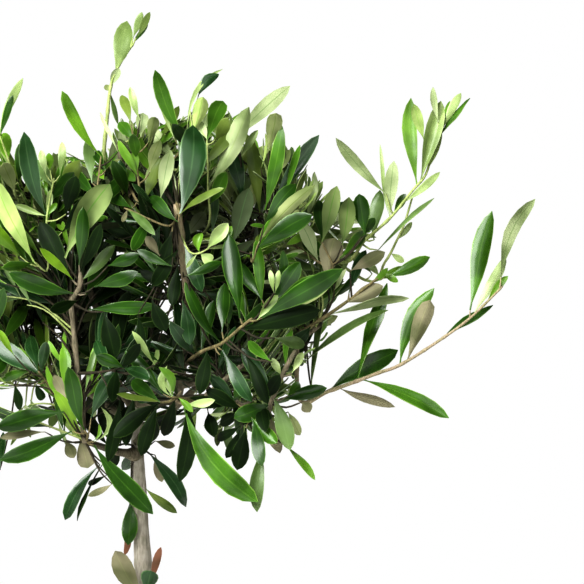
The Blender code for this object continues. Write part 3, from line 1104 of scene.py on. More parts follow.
def seen_distance(spot: Spot, start: Spot, end: Spot) -> float:
    """Measure how far a spot in the view lies from a line.

    Args:
        spot: The spot.
        start: One end of the line.
        end: Its other end.

    Returns:
        The distance in picture points.
    """
    along = (end[0] - start[0], end[1] - start[1])
    reach = (spot[0] - start[0], spot[1] - start[1])
    share = (reach[0] * along[0] + reach[1] * along[1]) / max(along[0] ** 2 + along[1] ** 2, 1e-9)
    share = min(max(share, 0.0), 1.0)
    return math.hypot(reach[0] - along[0] * share, reach[1] - along[1] * share)


@dataclass(frozen=True)
class Gap:
    """A spot that ordinary leaves leave open in the view, from a distance before the trunk on."""

    across: float
    down: float
    radius: float
    near: float = -1.0


@dataclass(frozen=True)
class Outline:
    """Where ordinary shoots may show in the view, and how far forward they may stand there."""

    corners: tuple[Spot, ...]
    gaps: tuple[Gap, ...]
    left_edge: float = -8.0
    forward: float = 94 * MM

    def inside(self, spot: Spot) -> bool:
        """Tell whether a spot lies inside the outline.

        Args:
            spot: The spot.

        Returns:
            True where it does.
        """
        across, down = spot
        within = False
        for (x1, y1), (x2, y2) in zip(self.corners, (*self.corners[1:], self.corners[0])):
            if (y1 > down) != (y2 > down) and across < x1 + (down - y1) * (x2 - x1) / (y2 - y1):
                within = not within
        return within

    def allows(self, points: Iterable[Vector]) -> bool:
        """Tell whether points keep inside the outline and behind the set sprays.

        Args:
            points: The points.

        Returns:
            True where they all do.
        """
        for point in points:
            spot = VIEW.seen(point)
            if spot[0] > self.left_edge and (-point.y > self.forward or not self.inside(spot)):
                return False
        return True

    def shuts(self, root: Vector, tip: Vector, width: float) -> bool:
        """Tell whether a leaf would shut one of the spots left open.

        Args:
            root: The leaf's root.
            tip: Its tip.
            width: Its width in picture points.

        Returns:
            True where it lies across a gap.
        """
        start, end = VIEW.seen(root), VIEW.seen(tip)
        foremost = max(-root.y, -tip.y)
        for gap in self.gaps:
            away = seen_distance((gap.across, gap.down), start, end)
            if foremost > gap.near and away < gap.radius + 0.5 * width:
                return True
        return False


OUTLINE = Outline(
    corners=(
        (-400, 60), (-20, 140), (10, 148), (34, 158), (62, 150), (92, 164), (108, 138), (122, 116),
        (150, 124), (180, 118), (202, 104), (232, 110), (262, 124), (288, 140), (310, 166), (330, 188),
        (356, 200), (376, 216), (382, 244), (372, 268), (348, 290), (334, 326), (318, 350), (302, 392),
        (286, 412), (278, 440), (262, 456), (244, 464), (224, 452), (200, 442), (190, 472), (176, 478),
        (152, 452), (124, 440), (100, 458), (80, 468), (58, 456), (30, 446), (-10, 455), (-400, 520),
    ),
    gaps=(
        Gap(164, 305, 3), Gap(308, 372, 7),
        Gap(8, 398, 9), Gap(30, 390, 8), Gap(42, 398, 6), Gap(58, 333, 4), Gap(27, 328, 3),
        *[Gap(177 + 0.06 * (down - 210), down, 4, 55 * MM) for down in range(210, 330, 12)],
        *[Gap(80 + 0.08 * (down - 300), down, 4, 70 * MM) for down in range(300, 375, 12)],
    ),
)


@dataclass
class Front:
    """How far forward the set leaves stand in each small square of the view; the others keep behind."""

    square: float = 4.0
    behind: float = 3 * MM
    rows: int = 10
    sides: tuple[float, ...] = (-0.32, 0.0, 0.32)
    nearest: dict[Square, float] = field(default_factory=dict)

    def square_of(self, point: Vector) -> Square:
        """Return the square of the view that a point shows in."""
        across, down = VIEW.seen(point)
        return round(across / self.square), round(down / self.square)

    def points_over(self, pose: LeafPose) -> Iterator[Vector]:
        """Go over a leaf in small steps.

        Args:
            pose: How the leaf sits.

        Yields:
            Points all over it.
        """
        chord = pose.tip - pose.root
        across = pose.facing.cross(chord).normalized() * pose.width
        for row in range(1, self.rows + 1):
            for side in self.sides:
                yield pose.root + chord * (row / self.rows) + across * side

    def take(self, pose: LeafPose) -> None:
        """Keep the squares that a set leaf lies over."""
        for point in self.points_over(pose):
            square = self.square_of(point)
            self.nearest[square] = max(-point.y, self.nearest.get(square, -math.inf))

    def bars(self, point: Vector) -> bool:
        """Tell whether a point stands before a set leaf."""
        return -point.y > self.nearest.get(self.square_of(point), math.inf) - self.behind

    def bars_leaf(self, pose: LeafPose) -> bool:
        """Tell whether an ordinary leaf would stand before a set one."""
        return any(self.bars(point) for point in self.points_over(pose))


class Twigs:
    """The twigs of one mass, joined into one piece; a thick one ends in a pruning cut."""

    swell: float = 0.28
    point: float = 0.55
    cut_edge: float = 0.92
    cut_radius: float = 2.5 * MM

    def __init__(self, mass: Mass, dress: Sequence[Material]) -> None:
        """Start a mass's twigs.

        Args:
            mass: The mass.
            dress: One bark for each kind of wood.
        """
        self.pool = Pool("twigs_" + mass.name, "bark", dress)

    def add(self, path: Path, radii: Sequence[float], wood: Wood, sides: int = 6, node: float = 0.0) -> None:
        """Add a twig.

        Args:
            path: Its middle line.
            radii: Its radius at each point.
            wood: Its kind of wood.
            sides: How many sides it has.
            node: Distance between its nodes, where it is a little thicker; 0 for none.
        """
        thick = list(radii)
        gone = 0.0
        for index, (start, end) in enumerate(zip(path, path[1:])):
            if node:
                thick[index] *= 1 + self.swell * max(0.0, math.cos(math.tau * gone / node)) ** 6
            gone += (end - start).length
        thick[-1] *= self.point if thick[-1] < self.cut_radius else self.cut_edge
        self.pool.take(swept(path, thick, sides), list(Wood).index(wood))


@dataclass(frozen=True)
class Leaf:
    """One leaf of a set spray, by the spots where its root and its tip show."""

    root_across: float
    root_down: float
    tip_across: float
    tip_down: float
    width: float
    tone: Tone
    lean: float | None = None
    side: Side = Side.UPPER
    bow: float | None = None
    blunt: float = 0.72

    @property
    def root(self) -> Spot:
        """Return the spot where its root shows."""
        return self.root_across, self.root_down

    @property
    def tip(self) -> Spot:
        """Return the spot where its tip shows."""
        return self.tip_across, self.tip_down


@dataclass(frozen=True)
class Spray:
    """One shoot that faces the front: where on its mass's stem it starts, where it runs, its leaves.

    A point of its way is a spot in the view and how far it stands in front of the trunk, in
    millimetres.
    """

    mass: str
    at: float
    by: tuple[tuple[float, float, float], ...]
    wood: Wood
    leaves: tuple[Leaf, ...]
    radius: float = 1.5 * MM
    tip_radius: float = 0.8 * MM


@dataclass(frozen=True)
class Shoot:
    """One long shoot: where on its mass's stem it starts, the points it runs by and its leaves."""

    mass: str
    at: float
    by: tuple[Vector, ...]
    pairs: int
    leaf: float
    turn: float


LONG_SHOOTS = (
    Shoot("left", 0.8, (place(-188, -6, 664), place(-232, -10, 690)), 6, 64 * MM, 0.5),
    Shoot("left_high", 0.8, (place(-142, -8, 832), place(-158, -10, 872)), 5, 62 * MM, 0.4),
    Shoot("back_left", 0.8, (place(-116, 142, 680), place(-130, 202, 708)), 6, 64 * MM, 1.3),
    Shoot("back_right", 0.8, (place(118, 138, 688), place(142, 190, 728)), 6, 66 * MM, 0.1),
    Shoot("back_high", 0.8, (place(26, 124, 826), place(44, 136, 880)), 5, 60 * MM, 0.7),
)


@dataclass(frozen=True)
class Habit:
    """How shoots carry their leaves, and how the shoots fill the head."""

    leaf_length: float = 69 * MM
    leaf_width: float = 0.195
    spread: Range = (0.8, 1.12)
    lift: float = 0.35
    rise: float = 0.42
    open_side: float = 1.2
    roll: float = 0.5
    width_spread: Range = (0.85, 1.15)
    arch: Range = (-0.01, 0.09)
    sweep: Range = (-0.05, 0.05)
    fold: Range = (0.15, 0.5)
    twist: Range = (-0.6, 0.6)
    blunt: Range = (0.6, 0.85)
    wave: Range = (-0.02, 0.02)
    curl: Range = (0.1, 0.6)
    ruffle: Range = (0.0, 0.2)
    tries: int = 6
    try_turn: float = 0.45
    try_shrink: float = 0.07
    set_back: float = 10 * MM
    set_backs: int = 14
    tip_leaves: Range = (0.6, 0.82)
    tip_opening: float = math.radians(24)
    opening: float = math.radians(47)
    opening_gain: float = math.radians(7)
    opening_most: float = math.radians(64)
    jitter: float = 0.12
    same_node: float = 5 * MM
    neighbour: float = 1.1
    probes: tuple[float, ...] = (0.35, 0.7)
    pair_spacing: float = 22 * MM
    leafy_length: float = 150 * MM
    leafy_share: float = 0.92
    bend: float = 0.18
    bend_at: float = 0.45
    sag: float = 0.05
    bare: float = 0.12
    shoot_radius: float = 1.1 * MM
    shoot_tip: float = 0.6 * MM
    stem_tip: float = 1.7 * MM
    stem_taper: float = 0.9
    stem_sides: int = 10
    stem_nodes: float = 31 * MM
    shoot_sides: int = 5
    twig_step: float = 7 * MM
    crown_middle: Vector = field(default_factory=lambda: place(-12, 0, 704))
    crown_reach: Vector = field(default_factory=lambda: place(176, 165, 160))
    # Dark tones are dealt as painted shade to tips within these shares of the crown's reach and within an
    # ellipse in the middle of the view; lighter tones as painted light to tips above sunlit_from.
    inside: float = 0.72
    inside_high: float = 0.55
    sunlit_from: float = 0.15
    shade_middle: Spot = (165.0, 352.0)
    shade_middle_reach: Spot = (80.0, 64.0)
    outer_shoots: int = 400
    inner_shoots: int = 290
    inner_reach: float = 0.6
    spurs: int = 22
    spur_length: Range = (34 * MM, 62 * MM)
    spur_pairs: int = 4
    spur_lean: float = 0.5
    spur_turn: float = 3.0
    lowest: float = -0.80
    tip_spread: Range = (0.86, 1.06)
    leaf_ahead: float = 34 * MM
    draw_steps: int = 16
    draw_back: float = 0.08
    draw_in: float = 0.94
    young_from: float = 0.85
    young_share: float = 0.4
    over: float = 22 * MM

    def tips(self, count: int, reach: float, rng: random.Random) -> list[Vector]:
        """Return points spread evenly over the crown, each moved a little in or out.

        Args:
            count: How many the whole round crown would have.
            reach: Share of the crown's reach that they lie at.
            rng: The draws that move them.

        Returns:
            The points, without those below the crown.
        """
        tips = []
        for index in range(count):
            height = 1 - 2 * (index + 0.5) / count
            if height < self.lowest:
                continue
            ring = math.sqrt(1 - height * height)
            angle = GOLDEN_ANGLE * index + rng.gauss(0, self.jitter)
            spot = Vector((ring * math.cos(angle), ring * math.sin(angle), height))
            spot *= reach * rng.uniform(*self.tip_spread)
            tips.append(self.drawn_in(self.crown_middle + spot * self.crown_reach))
        return tips

    def tones(self, tip: Vector) -> Weights:
        """Choose the tones for a shoot: dark tones as painted shade inside and in the middle of the view,
        lighter tones as painted light high up.

        Args:
            tip: The shoot's tip.

        Returns:
            The tones and their weights.
        """
        seen = zip(VIEW.seen(tip), self.shade_middle, self.shade_middle_reach)
        off = [(spot - middle) / reach for spot, middle, reach in seen]
        high = tip.z > self.crown_middle.z + self.sunlit_from * self.crown_reach.z
        inside = (self.inside_high if high else self.inside) * self.crown_reach.z
        if math.hypot(*off) < 1 or (tip - self.crown_middle).length < inside:
            return SHADED
        return SUNLIT if high else OUTER

    def drawn_in(self, tip: Vector) -> Vector:
        """Return a shoot's tip, moved in until its leaves keep inside the outline.

        Args:
            tip: The tip.

        Returns:
            The tip, moved in or back.
        """
        for _ in range(self.draw_steps):
            ahead = tip + (tip - self.crown_middle).normalized() * self.leaf_ahead
            if OUTLINE.allows([ahead]):
                break
            if OUTLINE.inside(VIEW.seen(ahead)):
                tip.y += self.draw_back * self.crown_reach.y
            else:
                tip = self.crown_middle.lerp(tip, self.draw_in)
        return tip


HABIT = Habit()
DEEP, INKY, DARK, GREEN, VIVID, GREY, OLIVE, FRESH, LIME, PALE, DRY, STRAW = Tone
# Tone weights: SHADED is painted shade, dark leaves inside the head; SUNLIT is painted light, lighter leaves
# high up.
SHADED: Weights = ((DEEP, 7), (INKY, 3), (DARK, 3))
OUTER: Weights = ((DARK, 3), (GREEN, 5), (INKY, 1), (GREY, 7), (OLIVE, 6), (VIVID, 4), (PALE, 1))
SUNLIT: Weights = ((DARK, 1), (GREEN, 5), (GREY, 6), (OLIVE, 6), (VIVID, 4), (PALE, 2))
NEW: Weights = ((GREEN, 3), (VIVID, 3), (FRESH, 4), (PALE, 2), (GREY, 2))


def dealt(tones: Weights, rng: random.Random) -> Tone:
    """Deal out one tone by weight."""
    return rng.choices([tone for tone, _ in tones], [weight for _, weight in tones])[0]


@dataclass(frozen=True)
class Setting:
    """How set leaves sit; distances in the view are in picture points.

    A leaf within the snap distance of its spray's way joins it, and one further off has a twig of its
    own, which starts further back along the way the longer it is. A grown leaf that shows short slants
    forward, and one that shows narrow is rolled. A leaf whose upper side faces up slants back, apart
    from a few.
    """

    snap: float = 5.0
    shade_bark_from: float = 14.0
    step: float = 0.6 * HABIT.twig_step
    sides: int = 8
    twig_step: float = 0.8 * HABIT.twig_step
    twig_share: float = 0.8
    twig_foot: float = 1.25
    twig_radius: float = 0.8 * MM
    twig_back: float = 0.12
    twig_sag: float = 0.12
    twig_depth: float = 0.35
    arch: Range = (-0.02, 0.08)
    lean: Range = (0.05, 0.42)
    lean_most: float = 1.1
    lean_kept: float = 0.2
    lean_back: float = 0.12
    contrary: float = 0.25
    short: float = 46 * MM
    narrow: float = 0.185
    fresh_fold: Range = (0.4, 0.8)
    bow: float = 0.035


SETTING = Setting()


class Growth:
    """Grows one mass of foliage on its bough."""

    def __init__(
        self, mass: Mass, leaves: Leaves, twigs: Twigs, limbs: Sequence[BVHTree], front: Front
    ) -> None:
        """Start a mass with its stem, and grow its set sprays.

        Args:
            mass: The mass.
            leaves: Takes its leaves.
            twigs: Takes its twigs.
            limbs: The trunk and the boughs, which nothing may touch.
            front: The view's squares that set leaves keep.
        """
        self.front = front
        self.mass = mass
        self.leaves = leaves
        self.twigs = twigs
        self.limbs = limbs
        self.rng = random.Random(f"{SEED} {mass.name}")
        self.bough = Bough(mass).route()
        self.stem = Bough(mass).stem(HABIT.twig_step)
        end = max(HABIT.stem_tip, HABIT.stem_taper * mass.stem_radius)
        radii = tapered(mass.stem_radius, end, len(self.stem))
        wood = Wood.BLUSH if mass.stem_radius == OLD_WOOD else Wood.LIMB
        self.twigs.add(self.stem, radii, wood, HABIT.stem_sides, HABIT.stem_nodes)
        for spray in SPRAYS:
            if spray.mass == mass.name:
                self.set_spray(spray)

    def foot(self, share: float) -> tuple[Vector, Vector]:
        """Return a point on the stem and the stem's direction there; below 0 it lies back on the bough."""
        path = self.stem if share >= 0 else self.bough
        return walk(path, (share if share >= 0 else 1 + share) * length_of(path))

    def set_spray(self, spray: Spray) -> None:
        """Grow a spray that is set by its spots in the view.

        Args:
            spray: The spray.
        """
        foot, _ = self.foot(spray.at)
        way = [VIEW.spot(across, down, near * MM) for across, down, near in spray.by]
        path = route((foot, *way), SETTING.step)
        radii = tapered(spray.radius, spray.tip_radius, len(path))
        self.twigs.add(path, radii, spray.wood, SETTING.sides, HABIT.pair_spacing)
        for leaf in spray.leaves:
            self.set_leaf(leaf, path, spray)

    def set_leaf(self, leaf: Leaf, path: Path, spray: Spray) -> None:
        """Set one leaf of a spray, on a short twig of its own where its root lies off the spray's way.

        Args:
            leaf: The leaf as it shows.
            path: The spray's way.
            spray: The spray.
        """
        gaps = [math.dist(VIEW.seen(point), leaf.root) for point in path]
        closest = min(range(len(path)), key=gaps.__getitem__)
        root = path[closest]
        off = gaps[closest]
        if off > SETTING.snap:
            start = path[max(0, closest - round(off * SETTING.twig_back))]
            near = -root.y + self.rng.uniform(0.0, SETTING.twig_depth) * off * MM
            root = VIEW.spot(*leaf.root, near)
            sag = Vector((0, 0, SETTING.twig_sag)) * (root - start).length
            twig = route((start, start.lerp(root, 0.5) - sag, root), SETTING.twig_step)
            radius = min(SETTING.twig_share * spray.tip_radius, SETTING.twig_radius)
            wood = spray.wood
            # A long side twig takes the dark bark that is painted shade, so that it reads as shaded inside
            # the head.
            if wood is not Wood.YOUNG and off > SETTING.shade_bark_from:
                wood = Wood.INNER
            self.twigs.add(twig, tapered(SETTING.twig_foot * radius, radius, len(twig)), wood)
        pose = self.set_pose(leaf, root)
        self.leaves.add(pose)
        self.front.take(pose)

    def set_pose(self, leaf: Leaf, root: Vector) -> LeafPose:
        """Work out how a set leaf sits in depth.

        Args:
            leaf: The leaf as it shows.
            root: Where its root is.

        Returns:
            Its pose, with the slant and the roll that make its seen length and width natural ones.
        """
        rng = self.rng
        scale = VIEW.scale(-root.y)
        seen = math.dist(leaf.root, leaf.tip) * scale
        grown = leaf.tone not in (FRESH, PALE, STRAW)
        lean = leaf.lean
        rises = leaf.tip[1] < leaf.root[1]
        away = rises == (leaf.side is Side.UPPER)
        if lean is None:
            short = SETTING.short / seen if grown else 1.0
            lean = math.sqrt(max(short * short - 1, 0.0)) if short > 1 else rng.uniform(*SETTING.lean)
            back = away != (rng.random() < SETTING.contrary)
            lean = min(lean, SETTING.lean_most) * (-1 if back else 1)
        elif away and lean < SETTING.lean_kept:
            lean = -lean - SETTING.lean_back
        tip = VIEW.spot(*leaf.tip, -root.y + lean * seen)
        chord = tip - root
        along = chord.normalized()
        toward = (Vector((VIEW.middle, -VIEW.distance, VIEW.height)) - root).normalized()
        facing = (toward - along * toward.dot(along)).normalized() * leaf.side.value
        fold = rng.uniform(*(HABIT.fold if grown else SETTING.fresh_fold))
        shown = leaf.width * scale / math.cos(fold)
        width = max(shown, SETTING.narrow * chord.length) if grown else shown
        roll = math.acos(min(1.0, shown / width))
        turns = [Matrix.Rotation(angle, 3, along) @ facing for angle in (roll, -roll)]
        facing = max(turns, key=lambda turned: turned.z)
        bow = rng.uniform(-SETTING.bow, SETTING.bow) if leaf.bow is None else leaf.bow
        return LeafPose(
            root=root,
            tip=tip,
            facing=facing,
            width=width,
            tone=leaf.tone,
            arch=rng.uniform(*SETTING.arch),
            sweep=bow * leaf.side.value,
            fold=fold,
            twist=rng.uniform(*HABIT.twist),
            blunt=leaf.blunt,
            **self.crumpled(),
        )

    def crumpled(self) -> dict[str, float]:
        """Draw how much a leaf is waved along its length, curled under and ruffled."""
        ranges = {"wave": HABIT.wave, "curl": HABIT.curl, "ruffle": HABIT.ruffle}
        return {name: self.rng.uniform(*limits) for name, limits in ranges.items()}

    def grow_leaf(self, root: Vector, direction: Vector, upward: Vector, length: float, tone: Tone) -> bool:
        """Grow one ordinary leaf where there is room.

        Args:
            root: Where its root is.
            direction: Which way it grows.
            upward: Which way its upper side faces.
            length: Its length.
            tone: Its tone.

        Returns:
            True where it was grown.
        """
        rng = self.rng
        tip = root + direction.normalized() * length
        points = (root, *[root.lerp(tip, share) for share in HABIT.probes], tip)
        width = HABIT.leaf_width * length * rng.uniform(*HABIT.width_spread)
        if not in_space(self.mass, points[1:], HABIT.over) or not OUTLINE.allows(points):
            return False
        if OUTLINE.shuts(root, tip, 0.5 * width / VIEW.scale(0.0)):
            return False
        fold = rng.uniform(*HABIT.fold)
        pose = LeafPose(
            root=root,
            tip=tip,
            facing=Matrix.Rotation(rng.gauss(0, HABIT.roll), 3, direction) @ upward,
            width=width,
            tone=tone,
            arch=rng.uniform(*HABIT.arch),
            sweep=rng.uniform(*HABIT.sweep),
            fold=fold,
            twist=rng.uniform(*HABIT.twist),
            blunt=rng.uniform(*HABIT.blunt),
            **self.crumpled(),
        )
        if self.front.bars_leaf(pose):
            return False
        found = plate(pose)
        middle = 0.5 * (root + tip)
        reach = HABIT.neighbour * length
        near = (
            tree
            for other_root, spot, tree in self.leaves.plates
            if (spot - middle).length < reach and (other_root - root).length > HABIT.same_node
        )
        if any(found.overlap(tree) for tree in near) or any(found.overlap(limb) for limb in self.limbs):
            return False
        return self.leaves.add(pose)

    def grow_pair(
        self, middle: Vector, along: Vector, turn: float, opening: float, length: float, tone: Tone
    ) -> int:
        """Grow two opposite leaves, each turned a little further where it meets another.

        Args:
            middle: Where on the shoot they grow.
            along: The shoot's direction there.
            turn: How far the pair is turned about the shoot.
            opening: How far its leaves open from the shoot.
            length: Their length.
            tone: Their tone.

        Returns:
            How many were grown.
        """
        rng = self.rng
        grown = 0
        side = along.orthogonal().normalized()
        for half in range(2):
            for attempt in range(HABIT.tries):
                angle = turn + math.pi * half + rng.gauss(0, HABIT.jitter) + HABIT.try_turn * attempt
                spread = opening + rng.gauss(0, HABIT.jitter)
                outward = Matrix.Rotation(angle, 3, along) @ side
                direction = along * math.cos(spread) + outward * math.sin(spread) + Vector((0, 0, HABIT.rise))
                open_side = (middle - HABIT.crown_middle).normalized() * HABIT.open_side
                upward = along * (1 - HABIT.lift) + Vector((0, 0, HABIT.lift)) + open_side
                size = length * rng.uniform(*HABIT.spread) * (1 - HABIT.try_shrink * attempt)
                if self.grow_leaf(middle, direction, upward, size, tone):
                    grown += 1
                    break
        return grown

    def grow_shoot(self, points: Path, pairs: int, length: float, turn: float) -> bool:
        """Grow a shoot through the given points, with leaves on its outer stretch.

        Args:
            points: The points, from its foot to its tip.
            pairs: How many pairs of leaves it has at most.
            length: Its leaves' length.
            turn: How far its first pair is turned.

        Returns:
            True where any leaf was grown.
        """
        path = route(points, HABIT.twig_step)
        if not in_space(self.mass, path[2:], HABIT.over) or not OUTLINE.allows(path[1:]):
            return False
        if any(self.front.bars(point) for point in path[2:]):
            return False
        distance = (path[-1] - HABIT.crown_middle).length / HABIT.crown_reach.z
        # Tips inside the head or in the middle of the view take dark tones as painted shade, high ones
        # lighter tones as painted light.
        tones = HABIT.tones(path[-1])
        own = dealt(tones, self.rng)
        new = own if tones is SHADED else dealt(NEW, self.rng)
        young = distance > HABIT.young_from and self.rng.random() < HABIT.young_share
        # Shoots that are not young take the dark bark that is painted shade.
        wood = Wood.YOUNG if young else Wood.INNER
        total = length_of(path)
        reached = 0.0
        spacing = min(HABIT.pair_spacing, total / (pairs + 0.5))
        for pair in range(pairs):
            middle, along = walk(path, total - spacing * pair - HABIT.shoot_tip)
            opening = HABIT.opening + HABIT.opening_gain * (pair - 1)
            opening = min(opening, HABIT.opening_most) if pair else HABIT.tip_opening
            size = length * HABIT.tip_leaves[pair] if pair < len(HABIT.tip_leaves) else length
            tone = new if pair == 0 else own
            if self.grow_pair(middle, along, turn + 0.5 * math.pi * pair, opening, size, tone):
                reached = max(reached, total - spacing * pair)
        if not reached:
            return False
        shown = path[: max(3, math.ceil((len(path) - 1) * reached / total) + 1)]
        radii = tapered(HABIT.shoot_radius, HABIT.shoot_tip, len(shown))
        self.twigs.add(shown, radii, wood, HABIT.shoot_sides, HABIT.pair_spacing)
        return True

    def grow_to(self, tip: Vector, at: float) -> None:
        """Grow one ordinary shoot from the stem to a tip in the crown.

        Args:
            tip: The tip, which is set back while the shoot finds no room.
            at: Share of the stem's length that it starts at.
        """
        foot, along = self.foot(at)
        reach = tip - foot
        sag = Vector((0, 0, HABIT.sag)) * reach.length
        bend = foot + reach * HABIT.bend_at + along * HABIT.bend * reach.length - sag
        pairs = max(2, round(min(HABIT.leafy_length, HABIT.leafy_share * reach.length) / HABIT.pair_spacing))
        length = HABIT.leaf_length * self.rng.uniform(*HABIT.spread)
        turn = self.rng.uniform(0, math.pi)
        for _ in range(HABIT.set_backs):
            if self.grow_shoot((foot, bend, tip), pairs, length, turn):
                break
            tip = tip + Vector((0, HABIT.set_back, 0))
            bend = bend + Vector((0, 0.5 * HABIT.set_back, 0))

    def grow_spurs(self) -> None:
        """Grow short leafy spurs all round the stem, which fill the inside of the head."""
        for index in range(HABIT.spurs):
            foot, along = self.foot((index + 0.5) / HABIT.spurs)
            outward = Matrix.Rotation(GOLDEN_ANGLE * index, 3, along) @ along.orthogonal().normalized()
            length = self.rng.uniform(*HABIT.spur_length)
            tip = foot + (outward + HABIT.spur_lean * along).normalized() * length
            way = (foot, foot.lerp(tip, 0.5), tip)
            turn = self.rng.uniform(0, HABIT.spur_turn)
            self.grow_shoot(way, HABIT.spur_pairs, HABIT.leaf_length, turn)

    def grow(self, tips: Path) -> None:
        """Grow the rest of the mass: long shoots, spurs, then ordinary shoots up its stem.

        Args:
            tips: The tips of all the ordinary shoots in the crown.
        """
        for shoot in LONG_SHOOTS:
            if shoot.mass == self.mass.name:
                self.grow_shoot((self.foot(shoot.at)[0], *shoot.by), shoot.pairs, shoot.leaf, shoot.turn)
        self.grow_spurs()
        axis = self.mass.stem_end - self.mass.stem_foot
        own = [tip for tip in tips if in_space(self.mass, [tip])]
        own.sort(key=lambda tip: (tip - self.mass.stem_foot).dot(axis))
        for index, tip in enumerate(own):
            self.grow_to(tip, HABIT.bare + (1 - HABIT.bare) * (index + 0.5) / len(own))


UNDER = Side.UNDER
LIMB, BROWN, INNER, BLUSH, YOUNG = list(Wood)[1:]

